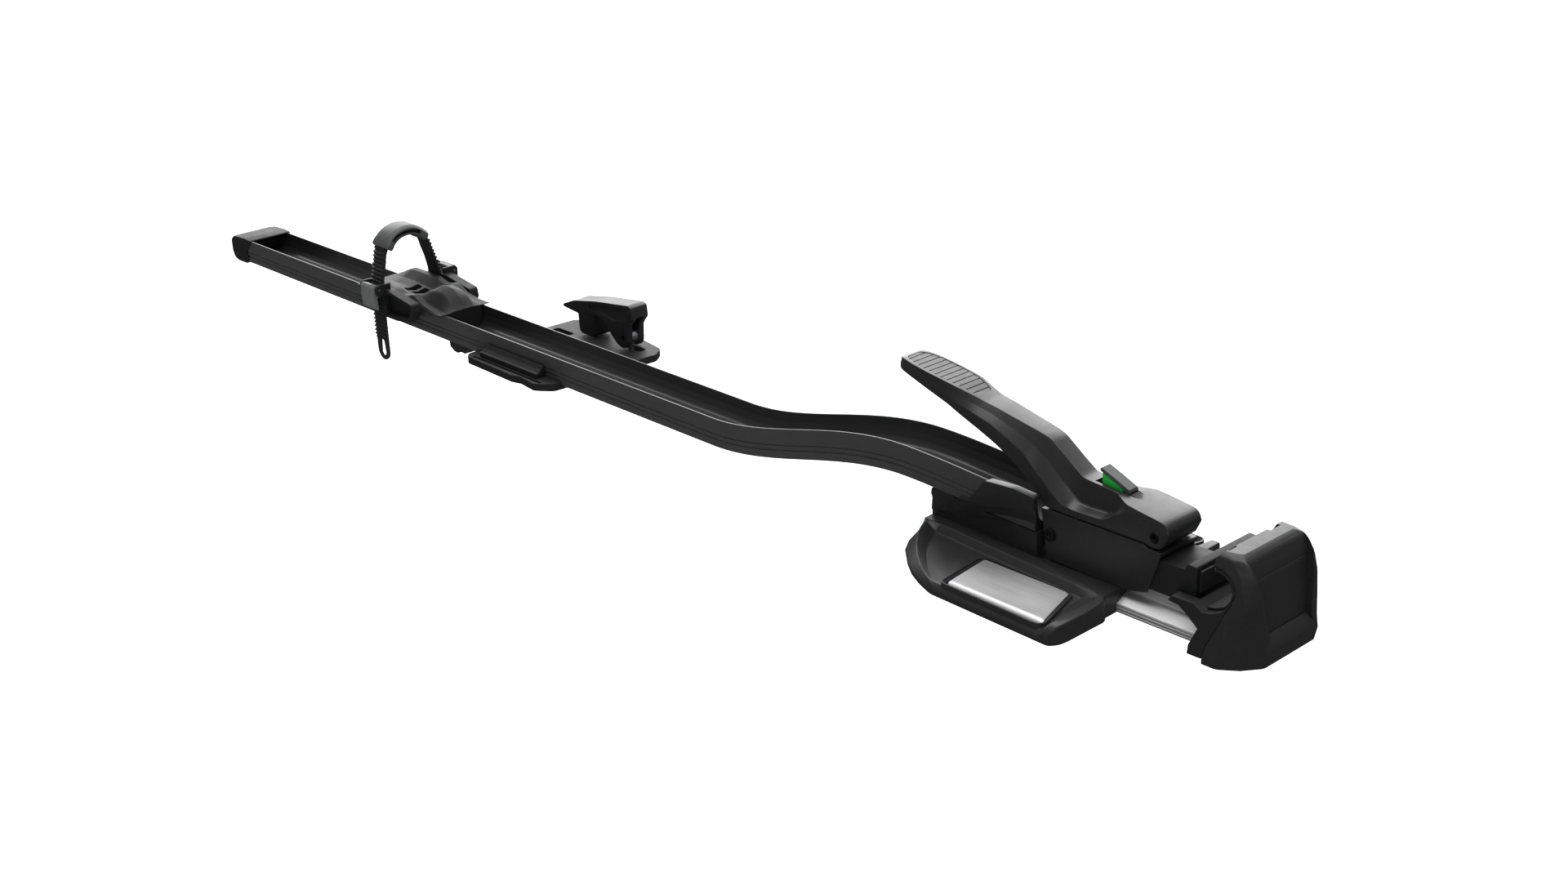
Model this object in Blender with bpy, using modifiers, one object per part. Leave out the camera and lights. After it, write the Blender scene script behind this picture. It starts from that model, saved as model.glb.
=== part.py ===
"""Fork-mount roof bicycle carrier, modelled as separate pieces.

Frame: +X runs forward to the fork head, +Y to the far side, +Z up. The origin is the centre of the
front foot's flat seat on the roof bar. Lengths below are in millimetres and become metres in the
helpers. Moving pieces are parented to an empty on their joint's axis.
"""
import math

import bmesh
import bpy
from mathutils import Matrix, Vector

MM = 0.001
GAP = 0.3                     # clearance kept between touching pieces

# wheel tray
TRAY_TAIL_X = -1213.0
TRAY_FRONT_X = 0.0
TRAY_HALF = 25.0              # half width over the lips
TRAY_HEIGHT = 26.6
TRAY_LOW_Z = 3.1              # underside along the straight rear part
TRAY_RISE = 40.0              # how far the bend lifts it
BEND_START_X = -370.0
BEND_END_X = -135.0
FRONT_DROP = 5.5              # gentle fall from the bend to the front end

# wheel cradle and strap
STRAP_X = -880.0
STRAP_WIDTH = 21.0
STRAP_THICK = 2.0
TOOTH_PITCH = 4.3
TOOTH_HEIGHT = 1.1
ARCH_Y, ARCH_Z, ARCH_R = -4.5, 68.5, 28.5

# rear clamp
REAR_X = -650.0
REAR_PLATE_Z = (2.0, 0.0)
CAM_PIN = (-616.0, 84.0, 19.0)

# lever, housing and jaw
PIVOT_X, PIVOT_Z = 105.5, 65.0
BODY_HALF = 20.0
SEAM_Z = 57.5
NOSE_R = 11.3
FLAP_PIN_X, FLAP_PIN_Z = 69.0, 84.4
JAW_HALF = 36.0

# fork head
SEAT_X, SEAT_Z = 171.5, 55.0
HEAD_FRONT_X = 209.0
HEAD_HALF_LOW = 53.0
HEAD_HALF_TOP = 37.5
HEAD_TOP_Z = 77.5

TRACK_BOLT_X = (-45.0, 30.0)

BLACK = (0.030, 0.030, 0.032)
SOFT_BLACK = (0.022, 0.022, 0.023)
PAD_GREY = (0.090, 0.092, 0.095)
LEVER_GREY = (0.135, 0.138, 0.140)
SILVER = (0.62, 0.62, 0.63)
STEEL = (0.50, 0.50, 0.52)
GREEN = (0.015, 0.37, 0.045)

XY, XZ, YZ = "xy", "xz", "yz"
PLANES = {
    XY: Matrix.Identity(4),
    XZ: Matrix(((1, 0, 0, 0), (0, 0, -1, 0), (0, 1, 0, 0), (0, 0, 0, 1))),
    YZ: Matrix(((0, 0, 1, 0), (1, 0, 0, 0), (0, 1, 0, 0), (0, 0, 0, 1))),
}
NORMALS = {XY: Vector((0, 0, 1)), XZ: Vector((0, 1, 0)), YZ: Vector((1, 0, 0))}


# ---------------------------------------------------------------- helpers

def clear_scene():
    for obj in list(bpy.data.objects):
        bpy.data.objects.remove(obj, do_unlink=True)


def new_collection(name):
    collection = bpy.data.collections.new(name)
    bpy.context.scene.collection.children.link(collection)
    return collection


def principled(name, colour, roughness, metallic=0.0):
    material = bpy.data.materials.new(name)
    material.use_nodes = True
    shader = material.node_tree.nodes["Principled BSDF"]
    shader.inputs["Base Color"].default_value = (*colour, 1.0)
    shader.inputs["Roughness"].default_value = roughness
    shader.inputs["Metallic"].default_value = metallic
    return material


def black(name):
    return principled(name, BLACK, 0.45)


def steel(name):
    return principled(name, STEEL, 0.35, 1.0)


def vec(point):
    return Vector(point) * MM


def mesh_object(name, bm, collection):
    bmesh.ops.recalc_face_normals(bm, faces=bm.faces)
    if bm.calc_volume(signed=True) < 0:
        bmesh.ops.reverse_faces(bm, faces=bm.faces)
    mesh = bpy.data.meshes.new(name)
    bm.to_mesh(mesh)
    bm.free()
    obj = bpy.data.objects.new(name, mesh)
    collection.objects.link(obj)
    return obj


def finish(obj, material, pivot=None):
    """Give the piece its material and put its origin on the pivot or at its own centre."""
    obj.data.materials.clear()
    obj.data.materials.append(material)
    corners = [Vector(corner) for corner in obj.bound_box]
    centre = sum(corners, Vector()) / len(corners)
    origin = vec(pivot) if pivot else centre
    obj.data.transform(Matrix.Translation(-origin))
    obj.matrix_world = Matrix.Translation(origin)
    return obj


def box(name, low, high, collection=None):
    bm = bmesh.new()
    bmesh.ops.create_cube(bm, size=1.0)
    size = vec(high) - vec(low)
    bmesh.ops.scale(bm, vec=size, verts=bm.verts)
    bmesh.ops.translate(bm, vec=(vec(high) + vec(low)) / 2, verts=bm.verts)
    return mesh_object(name, bm, collection or PIECES)


def cone(name, centre, radius, top_radius, length, axis, segments=24, collection=None):
    bm = bmesh.new()
    bmesh.ops.create_cone(bm, cap_ends=True, segments=segments, radius1=radius * MM,
                          radius2=top_radius * MM, depth=length * MM)
    turn = Vector((0, 0, 1)).rotation_difference(Vector(axis)).to_matrix().to_4x4()
    bm.transform(Matrix.Translation(vec(centre)) @ turn)
    return mesh_object(name, bm, collection or PIECES)


def rod(name, centre, radius, length, axis, segments=24, collection=None):
    return cone(name, centre, radius, radius, length, axis, segments, collection)


def rounded(points, radius, steps=4):
    """Fillet every corner of a closed outline; radius may be one number or one per corner."""
    count = len(points)
    radii = radius if isinstance(radius, (list, tuple)) else [radius] * count
    result = []
    for index, point in enumerate(points):
        here = Vector(point)
        before = (Vector(points[index - 1]) - here)
        after = (Vector(points[(index + 1) % count]) - here)
        r = radii[index]
        half = before.angle(after) / 2
        reach = min(r / math.tan(half), before.length * 0.49, after.length * 0.49) if r else 0
        if reach < 0.05 or half > math.radians(88):
            result.append(tuple(here))
            continue
        start = here + before.normalized() * reach
        end = here + after.normalized() * reach
        for step in range(steps + 1):
            t = step / steps
            result.append(tuple(start * (1 - t) ** 2 + here * 2 * t * (1 - t) + end * t ** 2))
    return result


def arc(centre, radius, start_deg, end_deg, steps):
    return [(centre[0] + radius * math.cos(math.radians(start_deg + (end_deg - start_deg) * i / steps)),
             centre[1] + radius * math.sin(math.radians(start_deg + (end_deg - start_deg) * i / steps)))
            for i in range(steps + 1)]


def curve_to_mesh(curve_obj, name, collection):
    """Turn a curve object into a mesh with welded caps, and remove the curve."""
    bpy.context.view_layer.update()
    graph = bpy.context.evaluated_depsgraph_get()
    mesh = bpy.data.meshes.new_from_object(curve_obj.evaluated_get(graph))
    matrix = curve_obj.matrix_world.copy()
    bpy.data.objects.remove(curve_obj, do_unlink=True)
    bm = bmesh.new()
    bm.from_mesh(mesh)
    bpy.data.meshes.remove(mesh)
    bmesh.ops.remove_doubles(bm, verts=bm.verts, dist=0.00001)
    bm.transform(matrix)
    return mesh_object(name, bm, collection)


def slab(name, outline, plane, low, high, holes=(), collection=None):
    """Extrude a flat outline, given in the plane's own two coordinates, between two levels."""
    curve = bpy.data.curves.new(name, "CURVE")
    curve.dimensions = "2D"
    curve.fill_mode = "BOTH"
    curve.extrude = abs(high - low) / 2 * MM
    for ring in (outline, *holes):
        spline = curve.splines.new("POLY")
        spline.points.add(len(ring) - 1)
        for point, place in zip(spline.points, ring):
            point.co = (place[0] * MM, place[1] * MM, 0, 1)
        spline.use_cyclic_u = True
    obj = bpy.data.objects.new(name, curve)
    PIECES.objects.link(obj)
    obj.matrix_world = Matrix.Translation(NORMALS[plane] * (low + high) / 2 * MM) @ PLANES[plane]
    return curve_to_mesh(obj, name, collection or PIECES)


def tube(name, points, radius, resolution=2):
    """A round wire along a list of points."""
    curve = bpy.data.curves.new(name, "CURVE")
    curve.dimensions = "3D"
    curve.bevel_depth = radius * MM
    curve.bevel_resolution = resolution
    curve.use_fill_caps = True
    spline = curve.splines.new("POLY")
    spline.points.add(len(points) - 1)
    for point, place in zip(spline.points, points):
        point.co = (*vec(place), 1)
    obj = bpy.data.objects.new(name, curve)
    PIECES.objects.link(obj)
    return curve_to_mesh(obj, name, PIECES)


def coil(name, centre, axis, radius, wire, turns, length, steps=10):
    """A compression or torsion spring as one wire."""
    turn = Vector((0, 0, 1)).rotation_difference(Vector(axis)).to_matrix()
    points = []
    for index in range(int(turns * steps) + 1):
        angle = 2 * math.pi * index / steps
        rise = (index / (turns * steps) - 0.5) * length
        points.append(Vector(centre) + turn @ Vector((radius * math.cos(angle),
                                                      radius * math.sin(angle), rise)))
    return tube(name, points, wire)


def loft(name, rings, collection=None):
    """Skin a row of sections that all have the same number of points."""
    bm = bmesh.new()
    rows = [[bm.verts.new(vec(point)) for point in ring] for ring in rings]
    count = len(rings[0])
    for near, far in zip(rows, rows[1:]):
        for i in range(count):
            bm.faces.new((near[i], near[(i + 1) % count], far[(i + 1) % count], far[i]))
    bm.faces.new(rows[0])
    bm.faces.new(list(reversed(rows[-1])))
    return mesh_object(name, bm, collection or PIECES)


def boolean(obj, tool, operation):
    """Cut or join with a hidden tool object."""
    for holder in list(tool.users_collection):
        holder.objects.unlink(tool)
    CUTTERS.objects.link(tool)
    tool.name = "tool_" + obj.name
    tool.hide_render = True
    tool.display_type = "WIRE"
    modifier = obj.modifiers.new(operation.lower(), "BOOLEAN")
    modifier.operation = operation
    modifier.solver = "EXACT"
    modifier.object = tool
    return obj


def cut(obj, *tools):
    for tool in tools:
        boolean(obj, tool, "DIFFERENCE")
    return obj


def join(obj, *tools):
    for tool in tools:
        boolean(obj, tool, "UNION")
    return obj


def bake(obj):
    """Apply the piece's booleans, so that it can be finished or used as a tool itself."""
    bpy.context.view_layer.update()
    graph = bpy.context.evaluated_depsgraph_get()
    mesh = bpy.data.meshes.new_from_object(obj.evaluated_get(graph))
    bm = bmesh.new()
    bm.from_mesh(mesh)
    bpy.data.meshes.remove(mesh)
    bmesh.ops.remove_doubles(bm, verts=bm.verts, dist=0.00001)
    bmesh.ops.dissolve_limit(bm, angle_limit=math.radians(0.5), verts=bm.verts, edges=bm.edges)
    bmesh.ops.triangulate(bm, faces=bm.faces)
    obj.modifiers.clear()
    bm.to_mesh(obj.data)
    bm.free()
    return obj


def chamfer(obj, width, segments=1, angle=40):
    modifier = obj.modifiers.new("edges", "BEVEL")
    modifier.width = width * MM
    modifier.segments = segments
    modifier.limit_method = "ANGLE"
    modifier.angle_limit = math.radians(angle)
    return obj


def hang(pieces, name, place):
    """Parent pieces to an empty that stands on their joint's axis."""
    empty = bpy.data.objects.new(name, None)
    PIECES.objects.link(empty)
    empty.matrix_world = Matrix.Translation(vec(place))
    for piece in pieces:
        world = piece.matrix_world.copy()
        piece.parent = empty
        piece.matrix_parent_inverse = Matrix.Translation(-vec(place))
        piece.matrix_world = world


def smooth(t):
    t = min(max(t, 0.0), 1.0)
    return t * t * (3 - 2 * t)


# ---------------------------------------------------------------- wheel tray

def tray_under(x):
    """Height of the tray's underside at a place along it."""
    rise = TRAY_RISE * smooth((x - BEND_START_X) / (BEND_END_X - BEND_START_X))
    drop = FRONT_DROP * smooth((x - BEND_END_X) / (TRAY_FRONT_X - BEND_END_X))
    return TRAY_LOW_Z + rise - drop


def tray_section():
    """Half of the channel's section, from the middle of its floor round to the middle underneath."""
    return [(0, 6.1), (17.5, 6.1), (20.2, 10.5), (21.8, 18.0), (22.7, 25.9), (23.3, 26.6), (24.5, 26.6),
            (25, 26.0), (25, 13.1), (24.3, 12.8), (24.3, 12.0), (25, 11.7), (25, 8.7), (24.3, 8.4),
            (24.3, 7.6), (25, 7.3), (25, 1.5), (23.5, 0), (0, 0)]


def wheel_tray():
    half = tray_section()
    section = half + [(-y, z) for y, z in reversed(half[1:-1])]
    stations = [TRAY_TAIL_X, BEND_START_X - 2]
    bend_steps = 14
    stations += [BEND_START_X + (BEND_END_X - BEND_START_X) * i / bend_steps for i in range(bend_steps + 1)]
    stations += [BEND_END_X + (TRAY_FRONT_X - BEND_END_X) * i / 5 for i in range(1, 6)]
    rings = []
    for x in stations:
        slope = math.atan((tray_under(x + 1) - tray_under(x - 1)) / 2)
        if x <= BEND_START_X or x >= TRAY_FRONT_X:
            slope = 0.0
        rings.append([(x - math.sin(slope) * z, y, tray_under(x) + math.cos(slope) * z)
                      for y, z in section])
    tray = loft("wheel_tray", rings)
    bake(cut(tray, rod("screw_hole", (-1198, 0, 5), 1.9, 30, (0, 0, 1), 12)))
    return finish(tray, black("tray_black"))


def tray_end_cap():
    top = TRAY_LOW_Z + TRAY_HEIGHT
    side = [(-1217, 10), (-1213.8, 4), (-1207, 1.5), (-1186, 1.5), (-1182, 4), (-1182, 13.5),
            (-1183, 16), (-1175, 31), (-1186, 32.2), (-1213, 28.5), (-1217, 24)]
    cap = slab("tray_end_cap", rounded(side, [3, 3, 3, 1, 1, 1, 1, 1, 3, 5, 4], 2), XZ, -26.6, 26.6)
    half = [(0, -4)] + tray_section()[1:-1] + [(23.5, -4)]
    outer = [(25.3, 26.9), (25.3, -0.3), (-25.3, -0.3), (-25.3, 26.9)]
    sleeve = slab("sleeve", [(y, z + TRAY_LOW_Z) for y, z in outer], YZ, TRAY_TAIL_X - GAP, -1150)
    plug_half = [(17.2, 6.4), (19.9, 10.6), (21.5, 18.0), (22.4, 25.9), (22.4, 30)]
    plug_out = [(y, z + TRAY_LOW_Z) for y, z in plug_half]
    plug_out += [(-y, z) for y, z in reversed(plug_out)]
    plug = slab("plug", plug_out, YZ, -1216, -1150)
    wedge = slab("wedge", [(-1215, 9), (-1186, 9.8), (-1176, top + 1.0), (-1186, top + 2.0),
                           (-1213, 28.2), (-1215, 24)], XZ, -22.4, 22.4)
    bake(cut(cap, sleeve))
    boolean(plug, wedge, "INTERSECT")
    bake(plug)
    bake(join(cap, plug))
    bake(cut(cap, rod("screw_hole", (-1198, 0, 2), 1.9, 12, (0, 0, 1), 12)))
    return finish(cap, black("end_cap_black"))


def tray_cap_screw():
    head = rod("tray_cap_screw", (-1198, 0, 0.4), 3.6, 1.4, (0, 0, 1), 16)
    shank = rod("shank", (-1198, 0, 3.5), 1.6, 6.0, (0, 0, 1), 12)
    bake(join(head, shank))
    return finish(head, steel("screw_steel"))


def tray_rest_foot():
    side = [(-784, 2.8), (-783, -5), (-776, -8.5), (-770, -9), (-764, -6.5), (-757, -7), (-754, -2),
            (-756, 2.8)]
    foot = slab("tray_rest_foot", rounded(side, 1.2, 2), XZ, -20, 20)
    return finish(foot, principled("foot_rubber", SOFT_BLACK, 0.7))


# ---------------------------------------------------------------- wheel cradle and strap

def strap_line():
    """Centre line of the strap in the YZ plane, from the loose tail over the arch to the far side."""
    near = [(-36.3, -36), (-36.9, -24), (-37.8, -10), (-38.7, 2), (-39.2, 14), (-39.4, 26), (-38.9, 39),
            (-37.4, 52), (-35.2, 61)]
    over = arc((ARCH_Y, ARCH_Z), ARCH_R, 178, 8, 16)
    far = [(27.2, 62), (29.6, 52), (31.8, 41), (33.4, 30), (34.2, 21)]
    return near + over + far


def resample(points, pitch):
    """Points at an even pitch along a polyline, with the outward side as a unit normal."""
    lengths = [0.0]
    for a, b in zip(points, points[1:]):
        lengths.append(lengths[-1] + math.dist(a, b))
    count = int(lengths[-1] / pitch)
    result = []
    for index in range(count + 1):
        want = lengths[-1] * index / count
        seg = max(i for i in range(len(points) - 1) if lengths[i] <= want + 1e-9)
        t = (want - lengths[seg]) / (lengths[seg + 1] - lengths[seg])
        a, b = Vector(points[seg]), Vector(points[seg + 1])
        along = (b - a).normalized()
        result.append((a.lerp(b, t), Vector((-along.y, along.x)), want))
    return result


def wheel_strap():
    outer, inner = [], []
    line = resample(strap_line(), TOOTH_PITCH / 2)
    total = line[-1][2]
    for index, (place, side, want) in enumerate(line):
        toothed = 24 < want < total - 8
        tooth = TOOTH_HEIGHT if toothed and index % 2 else 0.0
        outer.append(tuple(place + side * (STRAP_THICK / 2 + tooth)))
        inner.append(tuple(place - side * STRAP_THICK / 2))
    outline = outer + list(reversed(inner))
    strap = slab("wheel_strap", outline, YZ, STRAP_X - STRAP_WIDTH / 2, STRAP_X + STRAP_WIDTH / 2)
    hole = slab("hole", [(STRAP_X + 4.2 * math.cos(a), -22 + 9.5 * math.sin(a))
                         for a in [math.pi * i / 8 for i in range(16)]], XZ, -45, -30)
    bake(cut(strap, hole))
    return finish(strap, principled("strap_black", SOFT_BLACK, 0.6))


def ring_sector(r_in, r_out, start, end, steps=12):
    centre = (ARCH_Y, ARCH_Z)
    return arc(centre, r_out, start, end, steps) + arc(centre, r_in, end, start, steps)


def rim_pad():
    pad = slab("rim_pad", ring_sector(24.6, 35.0, 38, 150), YZ, STRAP_X - 14, STRAP_X + 14)
    channel = slab("channel", ring_sector(ARCH_R - 1.4, ARCH_R + 2.5, 30, 160, 14), YZ,
                   STRAP_X - STRAP_WIDTH / 2 - GAP, STRAP_X + STRAP_WIDTH / 2 + GAP)
    window = slab("window", ring_sector(ARCH_R - 1.4, ARCH_R + 2.5, 60, 122, 8), YZ,
                  STRAP_X, STRAP_X + 20)
    bake(cut(pad, channel, window))
    return finish(pad, principled("pad_grey", PAD_GREY, 0.55), (STRAP_X, ARCH_Y, ARCH_Z))


def wheel_cradle():
    top = TRAY_LOW_Z + TRAY_HEIGHT
    side = [(-940, 10), (-940, top + 1), (-924, top + 4), (-911, 42), (-857, 41.5), (-846, 35), (-832, 42),
            (-818, 48.5), (-800, 48), (-786, 37), (-780, top + 1), (-780, 10)]
    cradle = slab("wheel_cradle", side, XZ, -30.5, 30.5)
    shelf = top + GAP
    for sign in (-1, 1):
        low, high = sorted((sign * 20.0, sign * 40))
        cut(cradle, box("ledge", (-950, low, 0), (-770, high, shelf)))
    low_side = [(-20.2, 17), (-17.2, 9.5), (17.2, 9.5), (20.2, 17)]
    cut(cradle, slab("floor_room", [(-30, 0), (30, 0), (30, 17), *reversed(low_side), (-30, 17)], YZ,
                     -950, -770))
    cut(cradle, rod("wheel_room", (-860, 0, 52), 21.5, 200, (1, 0, 0), 28))
    for x in (-842, -866, -826):
        cut(cradle, box("window", (x - 6, -9, 0), (x + 6, 9, 60)))
    for sign in (-1, 1):
        low, high = sorted((sign * 29.2, sign * 45))
        cut(cradle, box("leg_room", (STRAP_X - 12, low, 0), (STRAP_X + 12, high, 70)))
    bake(cradle)
    return finish(cradle, black("cradle_black"))


def side_housing(name, sign):
    """Buckle carrier on the cradle's side, with a hollow guard ahead of the strap."""
    face = 41.0
    outline = [(-896, 16), (-889, 13.4), (-846, 13.4), (-821, 17.5), (-814, 28), (-816, 37), (-857, 43),
               (-889, 43), (-896, 38)]
    low, high = sorted((sign * 31.0, sign * face))
    housing = slab(name, rounded(outline, 3, 2), XZ, low, high)
    leg = sorted((sign * 36.0, sign * 50)) if sign < 0 else (25.0, 50.0)
    cut(housing, box("leg", (STRAP_X - 11.2, leg[0], 0 if sign < 0 else 19.5), (STRAP_X + 11.2, leg[1], 60)))
    pocket = [(-864.5, 17.5), (-847, 17.5), (-824, 21), (-819, 28), (-820.5, 33.5), (-857, 39.5),
              (-864.5, 38)]
    pocket_depth = sorted((sign * 34.0, sign * 50))
    cut(housing, slab("pocket", rounded(pocket, 2, 2), XZ, pocket_depth[0], pocket_depth[1]))
    for end in (-1, 1):
        x = STRAP_X + end * 14.0
        ear = [(33, 36), (47, 36), (50.5, 39), (50.5, 46), (47, 49), (33, 49)]
        piece = slab("ear", [(sign * y, z) for y, z in ear], YZ, x - 1.4, x + 1.4)
        join(housing, piece)
    bake(housing)
    drill = rod("drill", (STRAP_X, sign * 46.5, 43.5), 1.5 + GAP / 3, 60, (1, 0, 0), 16)
    cut(housing, drill)
    bake(housing)
    return finish(housing, black(name + "_black"))


def release_lever(name, sign):
    """Thumb lever that hangs on the buckle pin outside the strap, with its pawl pointing inwards."""
    outline = [(44.2, 47), (49.6, 48.6), (52, 46), (52.6, 36), (51.2, 24), (48.6, 21.5), (47.6, 24),
               (48.0, 34), (45.2, 37.0), (42.1, 36.4), (42.6, 38.6), (44.2, 40.5)]
    lever = slab(name, [(sign * y, z) for y, z in outline], YZ, STRAP_X - 12, STRAP_X + 12)
    drill = rod("drill", (STRAP_X, sign * 46.5, 43.5), 1.5 + GAP / 3, 60, (1, 0, 0), 16)
    bake(cut(lever, drill))
    return finish(lever, principled(name + "_grey", LEVER_GREY, 0.45), (STRAP_X, sign * 46.5, 43.5))


def buckle_pin(name, sign):
    pin = rod(name, (STRAP_X, sign * 46.5, 43.5), 1.5, 31.0, (1, 0, 0), 16)
    return finish(pin, steel(name + "_steel"))


# ---------------------------------------------------------------- rear clamp

def rear_clamp_plate():
    outline = [(-722, -38), (-716, -44), (-640, -46), (-628, -43), (-604, -46), (-588, -34), (-584, 20),
               (-580, 86), (-590, 100), (-640, 108), (-700, 110), (-726, 98), (-728, 60), (-724, 0)]
    plate = slab("rear_clamp_plate", rounded(outline, [4, 6, 3, 3, 8, 8, 30, 8, 8, 12, 12, 8, 12, 12], 3),
                 XY, 0.0, 7.4)
    tray_room = TRAY_HALF + GAP
    cut(plate, box("tray_room", (-760, -tray_room, TRAY_LOW_Z - GAP), (-560, tray_room, 20)))
    cut(plate, box("pad_room", (-700, -34, -1), (-608, 40, 1.0)))
    bolt_slot = rounded([(-634, 79), (-598, 79), (-598, 89), (-634, 89)], 4, 3)
    cut(plate, slab("bolt_slot", bolt_slot, XY, -5, 20))
    cut(plate, slab("rear_slot", rounded([(-718, 62), (-690, 62), (-690, 70), (-718, 70)], 3, 3), XY, 4, 20))
    for y in (-40.0, 32.0):
        cut(plate, box("groove", (-712, y - 1.5, 5.6), (-600, y + 1.5, 20)))
    bake(plate)
    return finish(plate, black("plate_black"))


def rear_bar_pad():
    pad = box("rear_bar_pad", (-699.7, -33.7, -1.2), (-608.3, 39.7, 0.7))
    return finish(pad, principled("pad_rubber", SOFT_BLACK, 0.8))


def rear_tray_clip(name, sign):
    """Hooked jaw that holds the tray's edge down on the plate."""
    base = 7.4 + GAP
    inner = TRAY_HALF + GAP
    section = [(inner, base), (inner, 17.0), (inner + 2.4, 18.6), (inner + 5.0, 15.0), (inner + 8.0, 12.6),
               (inner + 11.0, 12.2), (inner + 11.0, base)]
    clip = slab(name, [(sign * y, z) for y, z in section], YZ, -706, -612)
    bake(clip)
    return finish(clip, black(name + "_black"))


def rear_clip_screw(name, x, sign):
    head = rod(name, (x, sign * (TRAY_HALF + 9.0), 13.6), 2.2, 1.8, (0, 0, 1), 12)
    return finish(head, steel(name + "_steel"))


def cam_lever():
    """Cam lever over the far end of the rear plate; it turns on the eye bolt's cross pin."""
    side = [(-712, 31.5), (-711, 34.0), (-694, 41.0), (-655, 48.5), (-606, 54.8), (-600.5, 53.0), (-599, 41.5),
            (-604, 36), (-607, 32), (-607.5, 18), (-608.2, 14.2), (-610.2, 11.0), (-613.0, 9.0),
            (-616.0, 8.3), (-620.0, 9.0), (-629, 10.5), (-646, 17.5), (-653, 24.5), (-660, 28.5), (-661, 12), (-663, 9.0), (-683, 9.0), (-686, 12), (-687, 29.0),
            (-700, 30.0)]
    lever = slab("rear_cam_lever", rounded(side, 1.2, 2), XZ, 73.5, 94.5)
    cut(lever, box("fork_gap", (-633, 79.5, 0), (-590, 88.5, 40)))
    for low, high in ((60, 76.0), (92.0, 110)):
        relief = [(-671, 33), (-672, 41), (-652, 45.5), (-612, 50.5), (-609, 38.5), (-640, 31)]
        cut(lever, slab("relief", rounded(relief, 2, 2), XZ, low, high))
    drill = rod("drill", CAM_PIN, 3.0 + GAP / 3, 60, (0, 1, 0), 20)
    bake(cut(lever, drill))
    return finish(lever, black("cam_lever_black"), CAM_PIN)


def cam_pin():
    pin = rod("rear_cam_pin", CAM_PIN, 3.0, 20.4, (0, 1, 0), 20)
    return finish(pin, steel("cam_pin_steel"), CAM_PIN)


def eye_bolt():
    """Bolt with a ring round the cam pin and a flat head that sits in the bar's slot."""
    x, y, z = CAM_PIN
    bolt = rod("rear_eye_bolt", (x, y, 2.0), 3.5, 26.0, (0, 0, 1), 20)
    eye = rod("eye", (x, y, z), 7.2, 8.0, (0, 1, 0), 24)
    head = box("head", (x - 11, y - 8, -14.0), (x + 11, y + 8, -10.0))
    bake(join(bolt, eye, head))
    drill = rod("drill", CAM_PIN, 3.0 + GAP / 3, 60, (0, 1, 0), 20)
    bake(cut(bolt, drill))
    return finish(bolt, steel("eye_bolt_steel"))


# ---------------------------------------------------------------- front foot

WING_OUTLINE = [(-112, -29), (-108, -48), (-97, -66), (-76, -83), (-46, -96), (-25, -97.5), (72, -102.5),
                (80, -98), (84, -88), (84, -40)]


def front_foot():
    """Moulded foot: a central body with a shallow wing on each side and a window in each wing."""
    mirror = [(x, -y) for x, y in reversed(WING_OUTLINE)]
    foot = slab("front_foot", WING_OUTLINE + mirror, XY, 0.0, 8.0)
    body = slab("body", [(-112, -29), (78, -41), (80, -24), (80, 24), (78, 41), (-112, 29)], XY, 4.0, 17.0)
    under = [(x, tray_under(x) - 0.5) for x in (-108, -90, -70, -50, -30, -12, 1.4)]
    upper = slab("upper", [(-110, 12)] + under + [(2.2, 30), (2.2, 12)], XZ, -20.0, 20.0)
    join(foot, body, upper)
    bake(foot)
    for sign in (-1, 1):
        wall = loft("rear_wall", [
            [(-112, sign * 26, 5), (-112, sign * 26, 17), (-100, sign * 26, 17), (-84, sign * 26, 8)],
            [(-110, sign * 40, 5), (-110, sign * 40, 17), (-102, sign * 40, 17), (-88, sign * 40, 8)],
            [(-103, sign * 56, 5), (-103, sign * 56, 16), (-96, sign * 56, 16), (-78, sign * 56, 8)],
            [(-89, sign * 72, 5), (-89, sign * 72, 13.5), (-82, sign * 72, 13.5), (-62, sign * 72, 8)],
            [(-64, sign * 87.5, 5), (-64, sign * 87.5, 9), (-60, sign * 87.5, 9), (-48, sign * 87.5, 8)],
        ])
        join(foot, wall)
        gusset = loft("gusset", [
            [(80, sign * 28, 6), (80, sign * 28, 17), (77, sign * 28, 17), (74, sign * 28, 6)],
            [(84, sign * 44, 6), (84, sign * 44, 12), (80, sign * 44, 12), (76, sign * 44, 6)],
            [(84, sign * 58, 6), (84, sign * 58, 8.2), (81, sign * 58, 8.2), (78, sign * 58, 6)],
        ])
        join(foot, gusset)
    bake(foot)
    for sign in (-1, 1):
        low = [(-34, -44), (47, -46.5), (64, -97), (-27, -94)]
        cut(foot, slab("window", [(x, sign * abs(y)) for x, y in low], XY, 3.0, 30))
    rail_half = [(27.4, -1), (27.4, 7.4), (13.8, 12.7), (13.1, 13.4), (13.1, 23.4)]
    cut(foot, slab("rail_room", rail_half + [(-y, z) for y, z in reversed(rail_half)], YZ, -66.4, 120))
    cut(foot, box("housing_room", (2.4, -21.6, 15.6), (120, 21.6, 30)))
    for x in TRACK_BOLT_X:
        cut(foot, rod("nut_room", (x, 0, 27), 8.0, 12, (0, 0, 1), 20))
    bake(foot)
    return finish(foot, black("foot_black"))


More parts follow.
